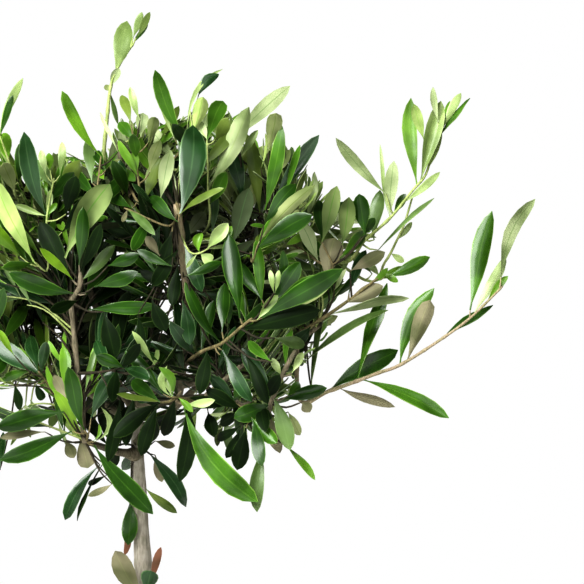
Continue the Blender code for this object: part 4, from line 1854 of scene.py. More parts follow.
SPRAYS = (
    # Left of the head, high up.
    Spray("left_high", 0.95, ((16, 196, 52), (10, 166, 62), (0, 136, 68)), YOUNG, (
        Leaf(1, 133, 23, 78, 9, PALE, bow=0.05), Leaf(-2, 138, 13, 95, 7, DARK, 0.25),
        Leaf(8, 162, 3, 133, 14, VIVID), Leaf(14, 195, 3, 163, 15, OLIVE, side=UNDER),
        Leaf(18, 182, 22, 142, 14, DARK), Leaf(6, 150, -14, 112, 12, FRESH),
    )),
    Spray("left_high", 0.7, ((48, 268, 78), (34, 262, 100)), YOUNG, (
        Leaf(30, 262, -4, 180, 20, FRESH, -0.1, UNDER, bow=0.03), Leaf(20, 256, -10, 222, 13, LIME, 0.4),
        Leaf(33, 262, 2, 268, 10, GREEN),
    )),
    Spray("left_high", 0.9, ((46, 244, 62), (47, 216, 76), (54, 178, 66)), YOUNG, (
        Leaf(46, 215, 24, 132, 19, INKY, 0.25, bow=0.05), Leaf(46, 175, 41, 150, 8, PALE),
        Leaf(50, 170, 49, 153, 8, VIVID), Leaf(60, 175, 62, 142, 8, PALE), Leaf(45, 217, 15, 205, 7, PALE),
        Leaf(45, 217, 50, 190, 7, PALE), Leaf(46, 217, 57, 203, 6, FRESH), Leaf(48, 200, 74, 172, 14, DARK),
        Leaf(52, 190, 38, 160, 12, GREY), Leaf(66, 214, 76, 176, 17, DEEP, 0.2),
        Leaf(62, 232, 90, 196, 15, DEEP, 0.2),
    )),
    Spray("left_high", 0.5, ((86, 232, 58), (96, 196, 60), (101, 156, 56)), BROWN, (
        Leaf(100, 155, 62, 91, 12, VIVID, 0.22, bow=0.08, blunt=0.55), Leaf(60, 188, 80, 160, 18, OLIVE),
        Leaf(92, 183, 88, 138, 12, GREY), Leaf(106, 170, 96, 151, 10, DARK),
        Leaf(118, 152, 100, 112, 4, PALE), Leaf(98, 196, 72, 168, 13, DARK),
        Leaf(94, 206, 124, 176, 14, DARK),
    )),
    # The long leader at the top left.
    Spray("top", 0.8, ((105, 160, 20), (107, 120, 22), (113, 78, 20), (132, 45, 18)), YOUNG, (
        Leaf(113, 75, 127, 21, 19, PALE, 0.05), Leaf(133, 38, 142, 12, 8, PALE, 0.0),
        Leaf(136, 38, 150, 12, 7, OLIVE, 0.0), Leaf(131, 46, 148, 24, 5, GREEN, 0.0),
        Leaf(111, 93, 105, 85, 6, OLIVE, 0.0, UNDER), Leaf(113, 89, 119, 68, 9, GREY, 0.0, UNDER),
        Leaf(114, 92, 118, 124, 5, GREY, 0.0),
    ), 2.1 * MM, 1.0 * MM),
    Spray("top", 0.6, ((140, 204, 58), (137, 168, 74), (134, 136, 78)), BROWN, (
        Leaf(131, 125, 122, 95, 10, OLIVE), Leaf(140, 120, 130, 87, 8, PALE),
        Leaf(141, 137, 143, 113, 13, GREY, 0.0, UNDER, blunt=0.5), Leaf(130, 142, 119, 122, 12, GREEN),
        Leaf(137, 160, 133, 134, 12, GREEN), Leaf(148, 143, 155, 117, 12, OLIVE, side=UNDER),
        Leaf(134, 178, 118, 140, 9, FRESH, 0.3), Leaf(138, 175, 134, 150, 8, FRESH, 0.3),
        Leaf(150, 172, 160, 140, 12, OLIVE, side=UNDER), Leaf(128, 196, 112, 160, 14, DARK),
        Leaf(146, 200, 160, 158, 15, OLIVE, 0.1), Leaf(160, 200, 171, 150, 15, GREY, 0.1, UNDER),
        Leaf(116, 200, 120, 160, 14, INKY, 0.2), Leaf(132, 208, 104, 190, 13, DARK),
    )),
    Spray("top", 0.95, ((170, 160, 34), (184, 138, 40)), BROWN, (
        Leaf(182, 135, 155, 70, 15, GREEN, 0.22, bow=0.05), Leaf(175, 140, 157, 93, 5, PALE),
        Leaf(160, 140, 179, 106, 9, OLIVE), Leaf(172, 158, 150, 128, 13, GREY, side=UNDER),
    )),
    Spray("front_high", 1.0, ((180, 214, 92),), BROWN, (
        Leaf(180, 215, 193, 125, 28, INKY, 0.12, bow=-0.05, blunt=0.6), Leaf(182, 216, 224, 188, 7, OLIVE),
        Leaf(178, 222, 150, 196, 13, DARK),
    )),
    # Middle of the top.
    Spray("top", 0.9, ((180, 170, 44), (192, 138, 50), (190, 110, 46)), YOUNG, (
        Leaf(198, 97, 219, 74, 11, INKY, 0.05, bow=0.14), Leaf(188, 132, 203, 97, 15, FRESH, side=UNDER),
        Leaf(187, 130, 223, 69, 5, PALE, bow=0.16), Leaf(188, 150, 172, 124, 13, DARK),
    )),
    Spray("back_high", 0.3, ((206, 230, 30), (208, 186, 44), (207, 140, 48)), YOUNG, (
        Leaf(203, 140, 199, 121, 9, PALE), Leaf(206, 140, 223, 101, 18, GREEN, blunt=0.5),
        Leaf(215, 140, 228, 118, 13, OLIVE), Leaf(208, 185, 249, 107, 20, PALE, 0.1, UNDER, bow=-0.04),
        Leaf(200, 170, 235, 128, 12, OLIVE), Leaf(212, 235, 213, 185, 11, DARK),
        Leaf(185, 235, 205, 212, 14, GREY, side=UNDER), Leaf(206, 196, 196, 160, 13, DARK),
        Leaf(210, 206, 226, 172, 14, GREEN),
    )),
    Spray("back_high", 0.5, ((248, 236, 0), (244, 200, 4), (240, 152, 22)), INNER, (
        Leaf(235, 140, 290, 86, 16, GREY, 0.0, UNDER, bow=0.03), Leaf(240, 155, 258, 130, 8, PALE),
    )),
    Spray("right_high", 0.1, ((262, 246, 36), (272, 200, 34), (268, 152, 34)), INNER, (
        Leaf(268, 150, 276, 113, 16, OLIVE, side=UNDER, blunt=0.5),
        Leaf(265, 210, 282, 126, 15, GREEN, 0.2, bow=-0.03), Leaf(277, 200, 273, 163, 7, OLIVE),
        Leaf(275, 205, 319, 135, 15, INKY, 0.1), Leaf(285, 195, 300, 145, 7, GREEN),
        Leaf(272, 178, 290, 150, 12, OLIVE, side=UNDER),
    )),
    Spray("right_high", 0.2, ((252, 262, 84), (258, 244, 96)), BROWN, (
        Leaf(264, 225, 296, 184, 16, DARK), Leaf(242, 202, 229, 138, 17, INKY, 0.25),
        Leaf(260, 215, 247, 134, 15, OLIVE, 0.3), Leaf(258, 240, 315, 185, 13, OLIVE, 0.1, UNDER),
        Leaf(258, 248, 312, 215, 20, DARK, 0.25), Leaf(232, 245, 249, 188, 20, INKY, side=UNDER),
        Leaf(256, 246, 276, 216, 13, GREEN),
    )),
    # Fresh sprout beside the pruned leader.
    Spray("front_high", 0.68, ((190, 252, 110), (200, 253, 122), (207, 249, 126)), YOUNG, (
        Leaf(206, 249, 228, 223, 14, PALE, 0.2), Leaf(212, 244, 232, 226, 9, FRESH, 0.0, bow=-0.1),
        Leaf(199, 252, 202, 233, 10, FRESH, 0.1, bow=0.2), Leaf(201, 254, 212, 262, 12, PALE, 0.0, blunt=0.5),
        Leaf(197, 255, 186, 268, 4, PALE, 0.1), Leaf(212, 249, 230, 245, 4, PALE, 0.1),
    ), 1.1 * MM, 0.7 * MM),
    Spray("front_high", 0.9, ((168, 226, 88), (134, 212, 92), (124, 208, 92)), BROWN, (
        Leaf(130, 212, 155, 235, 9, GREY), Leaf(126, 209, 122, 222, 5, STRAW),
        Leaf(150, 220, 132, 250, 12, DARK), Leaf(160, 224, 150, 262, 13, INKY),
        Leaf(172, 266, 137, 250, 10, DARK, 0.1), Leaf(160, 256, 146, 236, 10, STRAW, side=UNDER),
        Leaf(168, 290, 140, 270, 11, DEEP, 0.1), Leaf(172, 232, 160, 270, 14, DEEP, 0.2),
        Leaf(178, 250, 152, 286, 15, DEEP, 0.2), Leaf(184, 244, 202, 292, 15, INKY, 0.2),
        Leaf(178, 264, 172, 306, 13, DEEP, 0.2), Leaf(152, 300, 166, 331, 16, DEEP, 0.1),
        Leaf(138, 314, 142, 352, 10, DEEP, 0.0),
    ), 1.1 * MM, 0.8 * MM),
    # Right of the middle.
    Spray("right_high", 0.5, ((330, 268, 40), (322, 242, 42)), BROWN, (
        Leaf(320, 240, 319, 200, 13, DARK), Leaf(322, 240, 337, 186, 17, DARK, side=UNDER),
        Leaf(342, 245, 349, 197, 17, DARK, side=UNDER),
        Leaf(325, 280, 335, 238, 24, STRAW, side=UNDER, blunt=0.5), Leaf(365, 235, 359, 194, 17, DARK, 0.2),
        Leaf(362, 236, 375, 218, 10, DARK), Leaf(328, 262, 302, 240, 15, DARK),
        Leaf(340, 258, 366, 230, 13, GREEN), Leaf(318, 262, 300, 222, 15, GREY, side=UNDER),
    )),
    Spray("right_high", 0.3, ((284, 300, 70), (262, 306, 92)), BROWN, (
        Leaf(260, 305, 256, 240, 12, GREEN, 0.1), Leaf(285, 295, 283, 250, 10, DARK),
        Leaf(268, 304, 300, 262, 18, DARK), Leaf(276, 300, 322, 276, 14, GREEN),
        Leaf(262, 300, 240, 262, 13, DARK),
    )),
    # The long shoots at the upper right.
    Spray("right_high", 0.6, ((340, 262, 20), (365, 240, 20), (390, 218, 20), (413, 190, 18),
        (426, 174, 16), (434, 145, 14), (443, 128, 14)), YOUNG, (
        Leaf(390, 215, 394, 161, 14, GREY, 0.0, UNDER), Leaf(390, 215, 380, 144, 4, PALE, 0.0),
        Leaf(374, 240, 380, 190, 14, GREY, 0.1), Leaf(394, 215, 406, 194, 9, GREEN),
        Leaf(414, 185, 411, 98, 15, FRESH, 0.0, bow=0.04), Leaf(424, 140, 414, 104, 11, FRESH, 0.0, UNDER),
        Leaf(438, 122, 433, 87, 7, GREY, 0.0, UNDER), Leaf(428, 168, 441, 128, 8, FRESH, 0.0, UNDER),
        Leaf(418, 181, 441, 101, 17, PALE, 0.05), Leaf(444, 127, 461, 93, 9, PALE, 0.0),
        Leaf(443, 127, 450, 101, 6, FRESH, 0.0), Leaf(438, 142, 470, 98, 5, GREEN, 0.0, bow=-0.08),
        Leaf(403, 205, 440, 172, 8, PALE, 0.05), Leaf(386, 194, 336, 138, 12, GREY, 0.1, UNDER, bow=0.06),
        Leaf(378, 250, 434, 198, 4, GREY, 0.05),
    ), 1.9 * MM, 0.9 * MM),
    Spray("right_high", 0.7, ((365, 280, 12), (385, 262, 12), (397, 240, 12), (404, 225, 12),
        (413, 195, 14)), YOUNG, (
        Leaf(385, 277, 430, 257, 13, GREEN, 0.0), Leaf(380, 280, 404, 267, 9, FRESH, 0.1),
        Leaf(378, 276, 368, 262, 7, PALE), Leaf(392, 256, 404, 262, 7, PALE),
        Leaf(384, 272, 398, 282, 7, FRESH), Leaf(397, 240, 412, 222, 6, PALE),
        Leaf(372, 274, 352, 252, 12, GREY),
    ), 1.7 * MM, 0.8 * MM),
    # The longest shoot, out to the right.
    Spray("right", 0.6, ((300, 400, 20), (329, 391, 25), (357, 381, 30), (378, 373, 32), (400, 365, 35),
        (437, 342, 40), (470, 318, 45), (503, 286, 48)), BLUSH, (
        Leaf(331, 390, 398, 350, 20, DARK, 0.1), Leaf(359, 381, 387, 283, 13, GREEN, 0.05),
        Leaf(340, 391, 395, 407, 10, STRAW, 0.1, UNDER), Leaf(364, 383, 449, 418, 14, GREEN, 0.15),
        Leaf(400, 362, 434, 288, 17, GREEN, 0.0, bow=0.09),
        Leaf(406, 362, 430, 300, 18, STRAW, 0.15, UNDER, blunt=0.5), Leaf(440, 340, 493, 305, 9, DARK, 0.05),
        Leaf(470, 310, 492, 211, 19, GREEN, 0.05, bow=0.02),
        Leaf(501, 277, 535, 199, 14, GREY, 0.0, UNDER, bow=0.1),
        Leaf(474, 315, 506, 256, 11, PALE, 0.05, UNDER), Leaf(486, 302, 508, 276, 8, FRESH, 0.0),
    ), 2.1 * MM, 0.9 * MM),
    Spray("right", 0.75, ((297, 335, 20), (320, 320, 25), (345, 303, 28), (378, 278, 30)), BROWN, (
        Leaf(331, 317, 409, 298, 8, GREY, 0.1, UNDER), Leaf(347, 303, 383, 286, 16, STRAW, 0.1, UNDER),
        Leaf(349, 293, 366, 250, 11, INKY), Leaf(305, 362, 388, 310, 8, GREY, 0.35),
        Leaf(311, 388, 320, 300, 7, GREY, 0.1), Leaf(318, 322, 300, 288, 13, DARK),
        Leaf(350, 271, 385, 252, 14, STRAW, 0.0, UNDER), Leaf(312, 330, 290, 350, 13, INKY),
        Leaf(370, 284, 388, 268, 6, FRESH),
    ), 2.0 * MM, 1.0 * MM),
    # Across the middle.
    Spray("front_high", -0.42, ((190, 360, 60), (203, 351, 92), (222, 343, 118), (240, 328, 138),
        (252, 318, 148)), BROWN, (
        Leaf(240, 332, 320, 310, 21, DEEP, 0.4, blunt=0.55), Leaf(262, 318, 343, 269, 21, DARK, 0.5),
        Leaf(285, 312, 330, 285, 11, OLIVE, side=UNDER), Leaf(240, 318, 229, 234, 20, DARK, 0.05),
        Leaf(246, 325, 240, 291, 8, GREEN), Leaf(257, 320, 278, 295, 10, PALE),
        Leaf(274, 293, 270, 270, 6, PALE, 0.1), Leaf(275, 293, 279, 270, 6, PALE, 0.1),
        Leaf(221, 342, 185, 282, 12, DARK, 0.2, bow=0.08), Leaf(186, 276, 222, 262, 10, DARK, 0.1),
        Leaf(182, 300, 190, 345, 15, INKY, 0.0), Leaf(222, 332, 225, 283, 14, DARK),
        Leaf(275, 338, 305, 345, 13, GREY), Leaf(272, 362, 248, 341, 10, GREEN),
        Leaf(220, 355, 244, 363, 10, INKY), Leaf(196, 354, 170, 322, 14, INKY),
        Leaf(208, 350, 200, 394, 15, DEEP, 0.2), Leaf(222, 350, 252, 402, 14, INKY, 0.2),
        Leaf(244, 352, 268, 404, 14, DEEP, 0.2), Leaf(200, 352, 214, 300, 12, DARK),
    ), 2.1 * MM, 1.1 * MM),
    Spray("front_right", 0.3, ((262, 415, 92), (272, 400, 106), (280, 380, 118), (290, 360, 128),
        (296, 350, 132)), LIMB, (
        Leaf(283, 374, 272, 358, 8, PALE, 0.1), Leaf(292, 373, 303, 352, 8, PALE, 0.1),
        Leaf(287, 368, 292, 330, 7, GREEN), Leaf(268, 402, 234, 418, 18, DARK, 0.25),
        Leaf(268, 400, 242, 348, 16, INKY), Leaf(250, 400, 228, 362, 13, INKY),
        Leaf(263, 398, 280, 375, 14, DEEP), Leaf(280, 399, 327, 388, 14, DARK, 0.1),
        Leaf(288, 396, 299, 382, 10, GREEN), Leaf(277, 398, 290, 450, 18, GREY, 0.15),
        Leaf(286, 445, 315, 480, 8, VIVID, 0.05), Leaf(268, 412, 280, 453, 14, STRAW, side=UNDER),
        Leaf(302, 402, 310, 412, 12, STRAW, side=UNDER), Leaf(288, 412, 300, 435, 10, OLIVE, side=UNDER),
        Leaf(274, 392, 256, 372, 12, DARK), Leaf(246, 404, 272, 418, 14, DEEP),
        Leaf(232, 398, 254, 424, 15, DEEP, -0.3), Leaf(256, 398, 266, 432, 14, DEEP),
    ), 2.3 * MM, 1.9 * MM),
    Spray("front_right", 0.15, ((236, 404, 88), (252, 418, 108)), BROWN, (
        Leaf(251, 420, 262, 466, 14, DARK), Leaf(253, 417, 277, 443, 14, GREEN, 0.5),
        Leaf(262, 445, 257, 512, 15, GREY, 0.1), Leaf(246, 428, 237, 470, 18, DEEP, -0.1),
        Leaf(240, 430, 226, 458, 11, DEEP, -0.2), Leaf(208, 412, 214, 437, 14, DEEP),
        Leaf(240, 426, 218, 440, 10, DEEP), Leaf(238, 412, 220, 425, 12, DEEP),
        Leaf(240, 410, 206, 390, 14, DEEP, 0.2), Leaf(236, 404, 210, 376, 13, INKY, 0.2),
        Leaf(234, 408, 184, 402, 13, DEEP, 0.2), Leaf(232, 402, 250, 380, 13, DARK),
    )),
    # The old stem at the left and what stands on it.
    Spray("front_left", 0.97, ((80, 286, 84), (80, 272, 88)), LIMB, (
        Leaf(79, 265, 83, 207, 14, DARK, 0.25),
        Leaf(65, 258, 110, 184, 27, DARK, 0.1, UNDER, bow=0.05, blunt=0.55),
        Leaf(84, 272, 101, 224, 13, DEEP), Leaf(83, 283, 115, 245, 12, GREY, 0.1),
        Leaf(72, 280, 40, 222, 21, DEEP, 0.1), Leaf(73, 280, 40, 248, 9, LIME, 0.6),
        Leaf(77, 297, 9, 273, 18, DARK, 0.2, bow=0.05), Leaf(88, 310, 156, 306, 14, DARK, 0.2),
        Leaf(86, 294, 106, 262, 16, DARK), Leaf(104, 312, 115, 358, 20, DEEP, 0.1),
        Leaf(108, 266, 139, 254, 13, DARK, 0.5), Leaf(94, 287, 138, 272, 15, DARK, 0.3),
        Leaf(78, 300, 50, 310, 12, DEEP),
    ), 2.4 * MM, 2.0 * MM),
    Spray("front_left", 0.5, ((100, 372, 100), (124, 368, 120)), INNER, (
        Leaf(110, 370, 96, 340, 13, INKY), Leaf(122, 368, 140, 344, 12, DEEP),
        Leaf(124, 368, 150, 378, 12, INKY), Leaf(118, 370, 112, 402, 13, DEEP),
        Leaf(134, 394, 126, 446, 14, DEEP, 0.1), Leaf(126, 372, 96, 356, 13, DARK, 0.2),
        Leaf(120, 400, 108, 462, 14, DEEP, 0.0), Leaf(155, 365, 132, 331, 7, PALE, 0.3),
        Leaf(160, 362, 133, 348, 7, DARK, 0.3),
    )),
    Spray("front_left", 0.05, ((88, 436, 70), (84, 430, 78)), BROWN, (
        Leaf(80, 440, 54, 390, 12, LIME, 0.5, bow=-0.04), Leaf(85, 430, 68, 367, 17, DARK, 0.2),
        Leaf(91, 418, 117, 368, 17, INKY, 0.2), Leaf(85, 392, 96, 347, 6, GREY, 0.1),
        Leaf(67, 400, 54, 375, 12, STRAW, -0.3, UNDER), Leaf(66, 392, 63, 346, 12, VIVID, 0.1),
        Leaf(94, 442, 101, 407, 7, PALE, 0.1, bow=-0.35), Leaf(93, 441, 99, 424, 4, FRESH, 0.1, bow=-0.2),
        Leaf(94, 445, 153, 514, 20, DARK, 0.0, bow=-0.03), Leaf(64, 412, -3, 428, 20, DARK, 0.15),
        Leaf(72, 431, 0, 460, 18, DARK, 0.15), Leaf(45, 432, 0, 438, 9, STRAW, -0.1, UNDER),
        Leaf(80, 437, 88, 468, 18, STRAW, side=UNDER, blunt=0.5),
        Leaf(66, 440, 74, 458, 12, STRAW, side=UNDER),
        Leaf(100, 465, 65, 520, 13, INKY, 0.05, bow=-0.08, blunt=0.5), Leaf(103, 463, 77, 521, 3, DEEP, 0.05),
        Leaf(112, 484, 88, 496, 7, STRAW, side=UNDER), Leaf(107, 475, 88, 484, 6, DEEP),
    )),
    Spray("left", 0.3, ((56, 396, 52), (44, 378, 70), (38, 371, 80)), BROWN, (
        Leaf(38, 377, -10, 340, 20, INKY, 0.15), Leaf(14, 355, 0, 330, 7, LIME, 0.3),
        Leaf(36, 373, 30, 335, 14, INKY), Leaf(42, 375, 46, 342, 11, INKY), Leaf(54, 368, 35, 318, 9, VIVID),
        Leaf(70, 345, 108, 360, 12, DARK), Leaf(14, 384, 20, 410, 9, DEEP), Leaf(36, 384, 42, 400, 9, DEEP),
    )),
    Spray("left", 0.7, ((14, 356, 40), (-6, 330, 56)), BROWN, (
        Leaf(-6, 330, 4, 288, 14, DARK), Leaf(2, 340, 26, 306, 13, GREEN), Leaf(-4, 334, -34, 306, 15, GREEN),
        Leaf(0, 470, 3, 432, 8, INKY), Leaf(10, 352, -8, 372, 14, DARK),
    )),
    # Below the middle, round the trunk.
    Spray("front_right", 0.02, ((196, 402, 92), (184, 398, 112), (172, 397, 124)), BROWN, (
        Leaf(160, 403, 113, 437, 18, DEEP, 0.15),
        Leaf(184, 407, 258, 502, 24, GREEN, 0.2, bow=-0.1, blunt=0.6),
        Leaf(183, 400, 180, 482, 18, DEEP, 0.0, bow=0.08), Leaf(185, 405, 215, 400, 9, PALE),
        Leaf(162, 402, 117, 394, 6, OLIVE), Leaf(173, 395, 167, 366, 8, PALE, 0.0, bow=0.26),
        Leaf(172, 395, 159, 367, 9, FRESH, 0.3, bow=-0.2), Leaf(172, 394, 163, 371, 7, PALE, 0.1),
        Leaf(163, 394, 125, 351, 13, DARK, 0.1), Leaf(178, 401, 193, 412, 7, FRESH),
        Leaf(160, 402, 132, 380, 14, DARK), Leaf(154, 406, 152, 442, 15, DEEP),
        Leaf(158, 405, 141, 456, 15, DEEP, 0.1), Leaf(176, 400, 164, 436, 14, DEEP),
    )),
    Spray("front_right", 0.04, ((190, 403, 100), (176, 401, 112), (181, 391, 116)), BLUSH, (
    ), 1.5 * MM, 1.4 * MM),
    Spray("front_left", 0.0, ((112, 446, 46), (126, 444, 10), (140, 448, -15), (148, 452, -17)), INNER, (
        Leaf(147, 452, 186, 507, 14, INKY, 0.1, bow=0.06), Leaf(145, 488, 177, 513, 9, OLIVE, 0.1),
        Leaf(155, 441, 175, 446, 8, STRAW, side=UNDER), Leaf(155, 455, 162, 482, 11, STRAW, side=UNDER),
        Leaf(140, 445, 122, 470, 12, INKY), Leaf(112, 446, 100, 405, 14, DEEP, 0.1),
        Leaf(120, 446, 128, 406, 14, DEEP, 0.1), Leaf(106, 448, 82, 412, 13, DEEP, 0.1),
        Leaf(118, 442, 112, 470, 12, DEEP), Leaf(130, 500, 124, 556, 8, DRY, -0.3),
        Leaf(130, 500, 128, 545, 16, DARK, 0.25),
    ), 1.0 * MM, 0.8 * MM),
    # The small shoot low on the trunk.
    Spray("low_shoot", 0.8, ((144, 598, 20), (147, 588, 24)), BROWN, (
        Leaf(142, 598, 115, 551, 21, STRAW, 0.1, UNDER, bow=0.05), Leaf(147, 594, 151, 571, 18, INKY, 0.5),
        Leaf(150, 584, 161, 547, 8, DRY, 0.0), Leaf(146, 600, 170, 624, 14, DARK),
        Leaf(142, 600, 128, 628, 14, GREEN),
    ), 1.1 * MM, 0.8 * MM),
)


# ---- Pot and compost ----


def spun(profile: Sequence[Spot], steps: int) -> BMesh:
    """Spin a profile right round the pot's axis.

    Args:
        profile: Radius and height of each point, from axis to axis.
        steps: How many flats the round has.

    Returns:
        The closed body.
    """
    body = bmesh.new()
    corners = [body.verts.new((radius, 0.0, height)) for radius, height in profile]
    edges = [body.edges.new(pair) for pair in zip(corners, corners[1:])]
    bmesh.ops.spin(
        body, geom=[*corners, *edges], cent=(0, 0, 0), axis=(0, 0, 1), angle=math.tau, steps=steps,
        use_merge=True,
    )
    bmesh.ops.remove_doubles(body, verts=body.verts, dist=0.01 * MM)
    bmesh.ops.recalc_face_normals(body, faces=body.faces)
    return body


@dataclass
class ClayPot:
    """The clay pot: a tapering body under a plain band, its wall lightly ringed from the wheel."""

    height: float = 190 * MM
    foot_radius: float = 74 * MM
    shoulder_radius: float = 95 * MM
    rim_radius: float = 105 * MM
    band_height: float = 34 * MM
    band_taper: float = 1.5 * MM
    wall: float = 8 * MM
    lip: float = 12 * MM
    floor: float = 11 * MM
    edge: float = 2.6 * MM
    rings: int = 34
    steps: int = 128
    ringing: float = 0.28 * MM

    def inner_radius(self, height: float) -> float:
        """Return the radius of the inner wall at a height."""
        share = (height - self.floor) / (self.height - self.floor)
        return (self.foot_radius - self.wall) * (1 - share) + (self.rim_radius - self.lip) * share

    def profile(self) -> list[Spot]:
        """Lay out the pot's profile, its edges still sharp.

        Returns:
            Radius and height of each point.
        """
        band_foot = self.height - self.band_height
        band_radius = self.rim_radius - self.band_taper
        wall = [
            (
                self.foot_radius + (self.shoulder_radius - self.foot_radius) * index / self.rings,
                (band_foot - 1.5 * MM) * index / self.rings,
            )
            for index in range(self.rings, -1, -1)
        ]
        return [
            (0.0, self.floor),
            (self.inner_radius(self.floor), self.floor),
            (self.inner_radius(self.height), self.height),
            (self.rim_radius, self.height),
            (self.rim_radius - 0.4 * self.band_taper, self.height - 0.35 * self.band_height),
            (band_radius, band_foot + 0.3 * self.band_height),
            (band_radius - 0.4 * MM, band_foot),
            *wall,
            (0.0, 0.0),
        ]

    def build(self) -> Object:
        """Make the pot.

        Returns:
            The piece.
        """
        body = spun(self.profile(), self.steps)
        for corner in body.verts:
            radius = math.hypot(corner.co.x, corner.co.y)
            outside = radius > self.inner_radius(corner.co.z) + 0.5 * self.wall
            if outside and 2 * MM < corner.co.z < self.height - 4 * MM:
                wave = noise.noise(Vector((0.3, 0.7, corner.co.z * 260))) - 0.4
                drift = noise.noise(Vector((corner.co.x, corner.co.y, corner.co.z * 6)) * 14)
                corner.co.xy *= 1 + self.ringing * (wave + 0.5 * drift) / radius
        joined = [edge for edge in body.edges if edge.is_manifold]
        sharp = [edge for edge in joined if edge.calc_face_angle() > math.radians(30)]
        bmesh.ops.bevel(
            body, geom=sharp, offset=self.edge, offset_type="OFFSET", affect="EDGES", segments=4, profile=0.5,
            material=-1, clamp_overlap=True,
        )
        for face in body.faces:
            face.smooth = True
        pool = Pool("clay_pot", "clay", [ClayFinish().material()])
        pool.take(body)
        return pool.finish("pot")


@dataclass
class Compost:
    """The root ball: rough compost mounded a little towards the stem, with crumbs and chips on it."""

    pot: ClayPot
    level: float = 174 * MM
    fall: float = 5 * MM
    flat_radius: float = 26 * MM
    clearance: float = 0.9 * MM
    rings: int = 44
    steps: int = 120
    roughness: float = 1.6 * MM
    crumbs: int = 620
    crumb_size: Range = (0.9 * MM, 2.6 * MM)
    stem_clear: float = 15 * MM
    crumb_reach: float = 0.94
    raggedness: float = 0.25
    seat: float = 0.3
    chip_every: int = 6
    chip_shape: tuple[float, float, float] = (1.9, 1.1, 0.4)

    def surface(self, x: float, y: float) -> float:
        """Return the compost's height at a place."""
        radius = math.hypot(x, y)
        share = max(0.0, radius - self.flat_radius) / (0.9 * self.pot.rim_radius - self.flat_radius)
        rough = noise.fractal(Vector((x, y, 0.0)) * 70, 0.6, 2.2, 4)
        return self.level - self.fall * min(share, 1.0) + self.roughness * min(rough, 1.0)

    def build(self) -> list[Object]:
        """Make the compost and its crumbs.

        Returns:
            Both pieces.
        """
        edge = self.pot.inner_radius(self.level) - self.clearance
        foot = self.pot.inner_radius(self.pot.floor) - self.clearance
        floor = self.pot.floor + self.clearance
        top = [(edge * index / self.rings, self.level) for index in range(self.rings + 1)]
        body = spun([*top, (foot, floor), (0.0, floor)], self.steps)
        for corner in body.verts:
            if corner.co.z > self.level - MM:
                corner.co.z = self.surface(corner.co.x, corner.co.y)
        for face in body.faces:
            face.smooth = True
        pool = Pool("compost", "compost", [CompostFinish().material()])
        pool.take(body)
        return [pool.finish("root_ball"), self.scatter(edge)]

    def scatter(self, edge: float) -> Object:
        """Make the crumbs and the chips of bark that lie on the compost.

        Args:
            edge: The compost's radius at its top.

        Returns:
            The piece.
        """
        rng = random.Random(f"{SEED} crumbs")
        damp = CompostFinish("damp crumbs", (34, 25, 18), (66, 50, 37), (104, 84, 64))
        dry = CompostFinish("dry chips", (70, 52, 36), (112, 86, 60), (150, 122, 90))
        pool = Pool("compost_crumbs", "compost", [damp.material(), dry.material()])
        for index in range(self.crumbs):
            radius = math.sqrt(rng.uniform((self.stem_clear / edge) ** 2, self.crumb_reach)) * edge
            bearing = rng.uniform(0, math.tau)
            x, y = radius * math.cos(bearing), radius * math.sin(bearing)
            size = rng.uniform(*self.crumb_size)
            chip = index % self.chip_every == 0
            crumb = bmesh.new()
            bmesh.ops.create_icosphere(crumb, subdivisions=1, radius=1.0)
            if chip:
                stretch = Vector(self.chip_shape)
            else:
                stretch = Vector((1.0, rng.uniform(0.7, 1.0), rng.uniform(0.6, 0.9)))
            turn = Matrix.Rotation(rng.uniform(0, math.tau), 3, "Z")
            tilt = turn @ Matrix.Rotation(rng.gauss(0, 0.3), 3, "X")
            for corner in crumb.verts:
                ragged = 1 + self.raggedness * noise.noise(corner.co * 2 + Vector((index, 0, 0)))
                corner.co = tilt @ (corner.co * stretch * size * ragged)
                corner.co += Vector((x, y, self.surface(x, y) + self.seat * size))
            pool.take(crumb, 1 if chip else 0)
        return pool.finish()


# ---- Studio ----


@dataclass(frozen=True)
class SoftBox:
    """One soft light: where it stands, its size and its power."""

    name: str
    place: tuple[float, float, float]
    size: float
    power: float


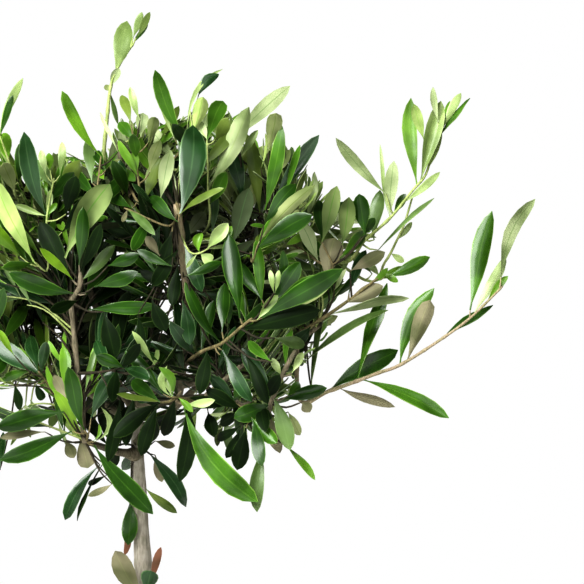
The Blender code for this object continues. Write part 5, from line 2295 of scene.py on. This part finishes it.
@dataclass
class Studio:
    """A pale floor, a white surround and soft lights."""

    floor_radius: float = 2.6
    floor_colour: Colour = (236, 236, 234)
    surround: float = 0.11
    aim: Vector = field(default_factory=lambda: place(0, 0, 700))
    lights: tuple[SoftBox, ...] = (
        SoftBox("key_light", (-1.1, -1.7, 2.1), 1.7, 184.0),
        SoftBox("front_light", (0.6, -2.5, 1.7), 1.3, 17.0),
        SoftBox("back_light", (1.2, 1.6, 2.0), 1.3, 40.0),
    )

    def build(self) -> None:
        """Make the floor, the surround and the lights."""
        self.build_floor()
        self.build_surround()
        for light in self.lights:
            self.build_light(light)
        shown = bpy.context.scene.view_settings
        shown.view_transform = "Standard"
        shown.gamma = 0.8

    def build_floor(self) -> None:
        """Lay the floor."""
        body = bmesh.new()
        bmesh.ops.create_circle(body, cap_ends=True, segments=96, radius=self.floor_radius)
        mesh = bpy.data.meshes.new("pale_floor")
        body.to_mesh(mesh)
        body.free()
        mesh.materials.append(Shader("pale floor", self.floor_colour, 0.7, 0.2).material)
        floor = bpy.data.objects.new("pale_floor", mesh)
        bpy.context.scene.collection.objects.link(floor)

    def build_surround(self) -> None:
        """Light the scene evenly from all round, and show plain white behind it."""
        world = bpy.data.worlds.new("white_surround")
        bpy.context.scene.world = world
        world.use_nodes = True
        nodes, links = world.node_tree.nodes, world.node_tree.links
        even = nodes["Background"]
        even.inputs["Color"].default_value = (1.0, 1.0, 0.82, 1.0)
        even.inputs["Strength"].default_value = self.surround
        behind = nodes.new("ShaderNodeBackground")
        behind.inputs["Color"].default_value = (1.0, 1.0, 1.0, 1.0)
        behind.inputs["Strength"].default_value = 1.0
        rays = nodes.new("ShaderNodeLightPath")
        chosen = nodes.new("ShaderNodeMixShader")
        links.new(rays.outputs["Is Camera Ray"], chosen.inputs[0])
        links.new(even.outputs[0], chosen.inputs[1])
        links.new(behind.outputs[0], chosen.inputs[2])
        links.new(chosen.outputs[0], nodes["World Output"].inputs["Surface"])

    def build_light(self, light: SoftBox) -> None:
        """Set up one soft light, aimed at the head.

        Args:
            light: The light.
        """
        lamp = bpy.data.lights.new(light.name, "AREA")
        lamp.shape = "SQUARE"
        lamp.size = light.size
        lamp.energy = light.power
        stand = bpy.data.objects.new(light.name, lamp)
        stand.location = light.place
        stand.rotation_euler = (self.aim - Vector(light.place)).to_track_quat("-Z", "Y").to_euler()
        bpy.context.scene.collection.objects.link(stand)


# ---- The whole tree ----


def limb_trees() -> list[BVHTree]:
    """Make search trees of the trunk's and the boughs' solids.

    Returns:
        The trees.
    """
    trees = []
    for name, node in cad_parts.items():
        if name == "trunk" or name.startswith("bough_"):
            corners = [corner.co for corner in node.data.vertices]
            trees.append(BVHTree.FromPolygons(corners, [tuple(face.vertices) for face in node.data.polygons]))
    return trees


def build_crown() -> None:
    """Grow every bough and every mass of foliage."""
    limb_bark = Wood.LIMB.value.material()
    leaf_dress = [material for tone in Tone for material in tone.value.materials()]
    twig_dress = [wood.value.material() for wood in Wood]
    limbs = limb_trees()
    rng = random.Random(SEED)
    tips = HABIT.tips(HABIT.outer_shoots, 1.0, rng) + HABIT.tips(HABIT.inner_shoots, HABIT.inner_reach, rng)
    blank = LeafBlank()
    plates = []
    front = Front()
    growths = [
        Growth(mass, Leaves(mass, blank, leaf_dress, plates), Twigs(mass, twig_dress), limbs, front)
        for mass in (*MASSES, LOW_SHOOT)
    ]
    for growth in growths:
        mass = growth.mass
        nodes = []
        if mass is not LOW_SHOOT:
            nodes.append("foliage_" + mass.name)
            Bough(mass).build(limb_bark)
            growth.grow(tips)
        log.info("%s: %d leaves", mass.name, growth.leaves.count)
        growth.leaves.finish(*nodes)
        growth.twigs.pool.finish(*nodes)
    log.info("%d leaves in all", len(plates))


def write_sizes() -> None:
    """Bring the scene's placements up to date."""
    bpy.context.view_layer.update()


def main() -> None:
    """Build the camera, the studio and the tree, piece by piece."""
    logging.basicConfig(level=logging.INFO, format="%(message)s")
    VIEW.build()
    Studio().build()
    pot = ClayPot()
    pot.build()
    Compost(pot).build()
    TRUNK.build()
    build_crown()
    write_sizes()


if __name__ == "__main__":
    main()
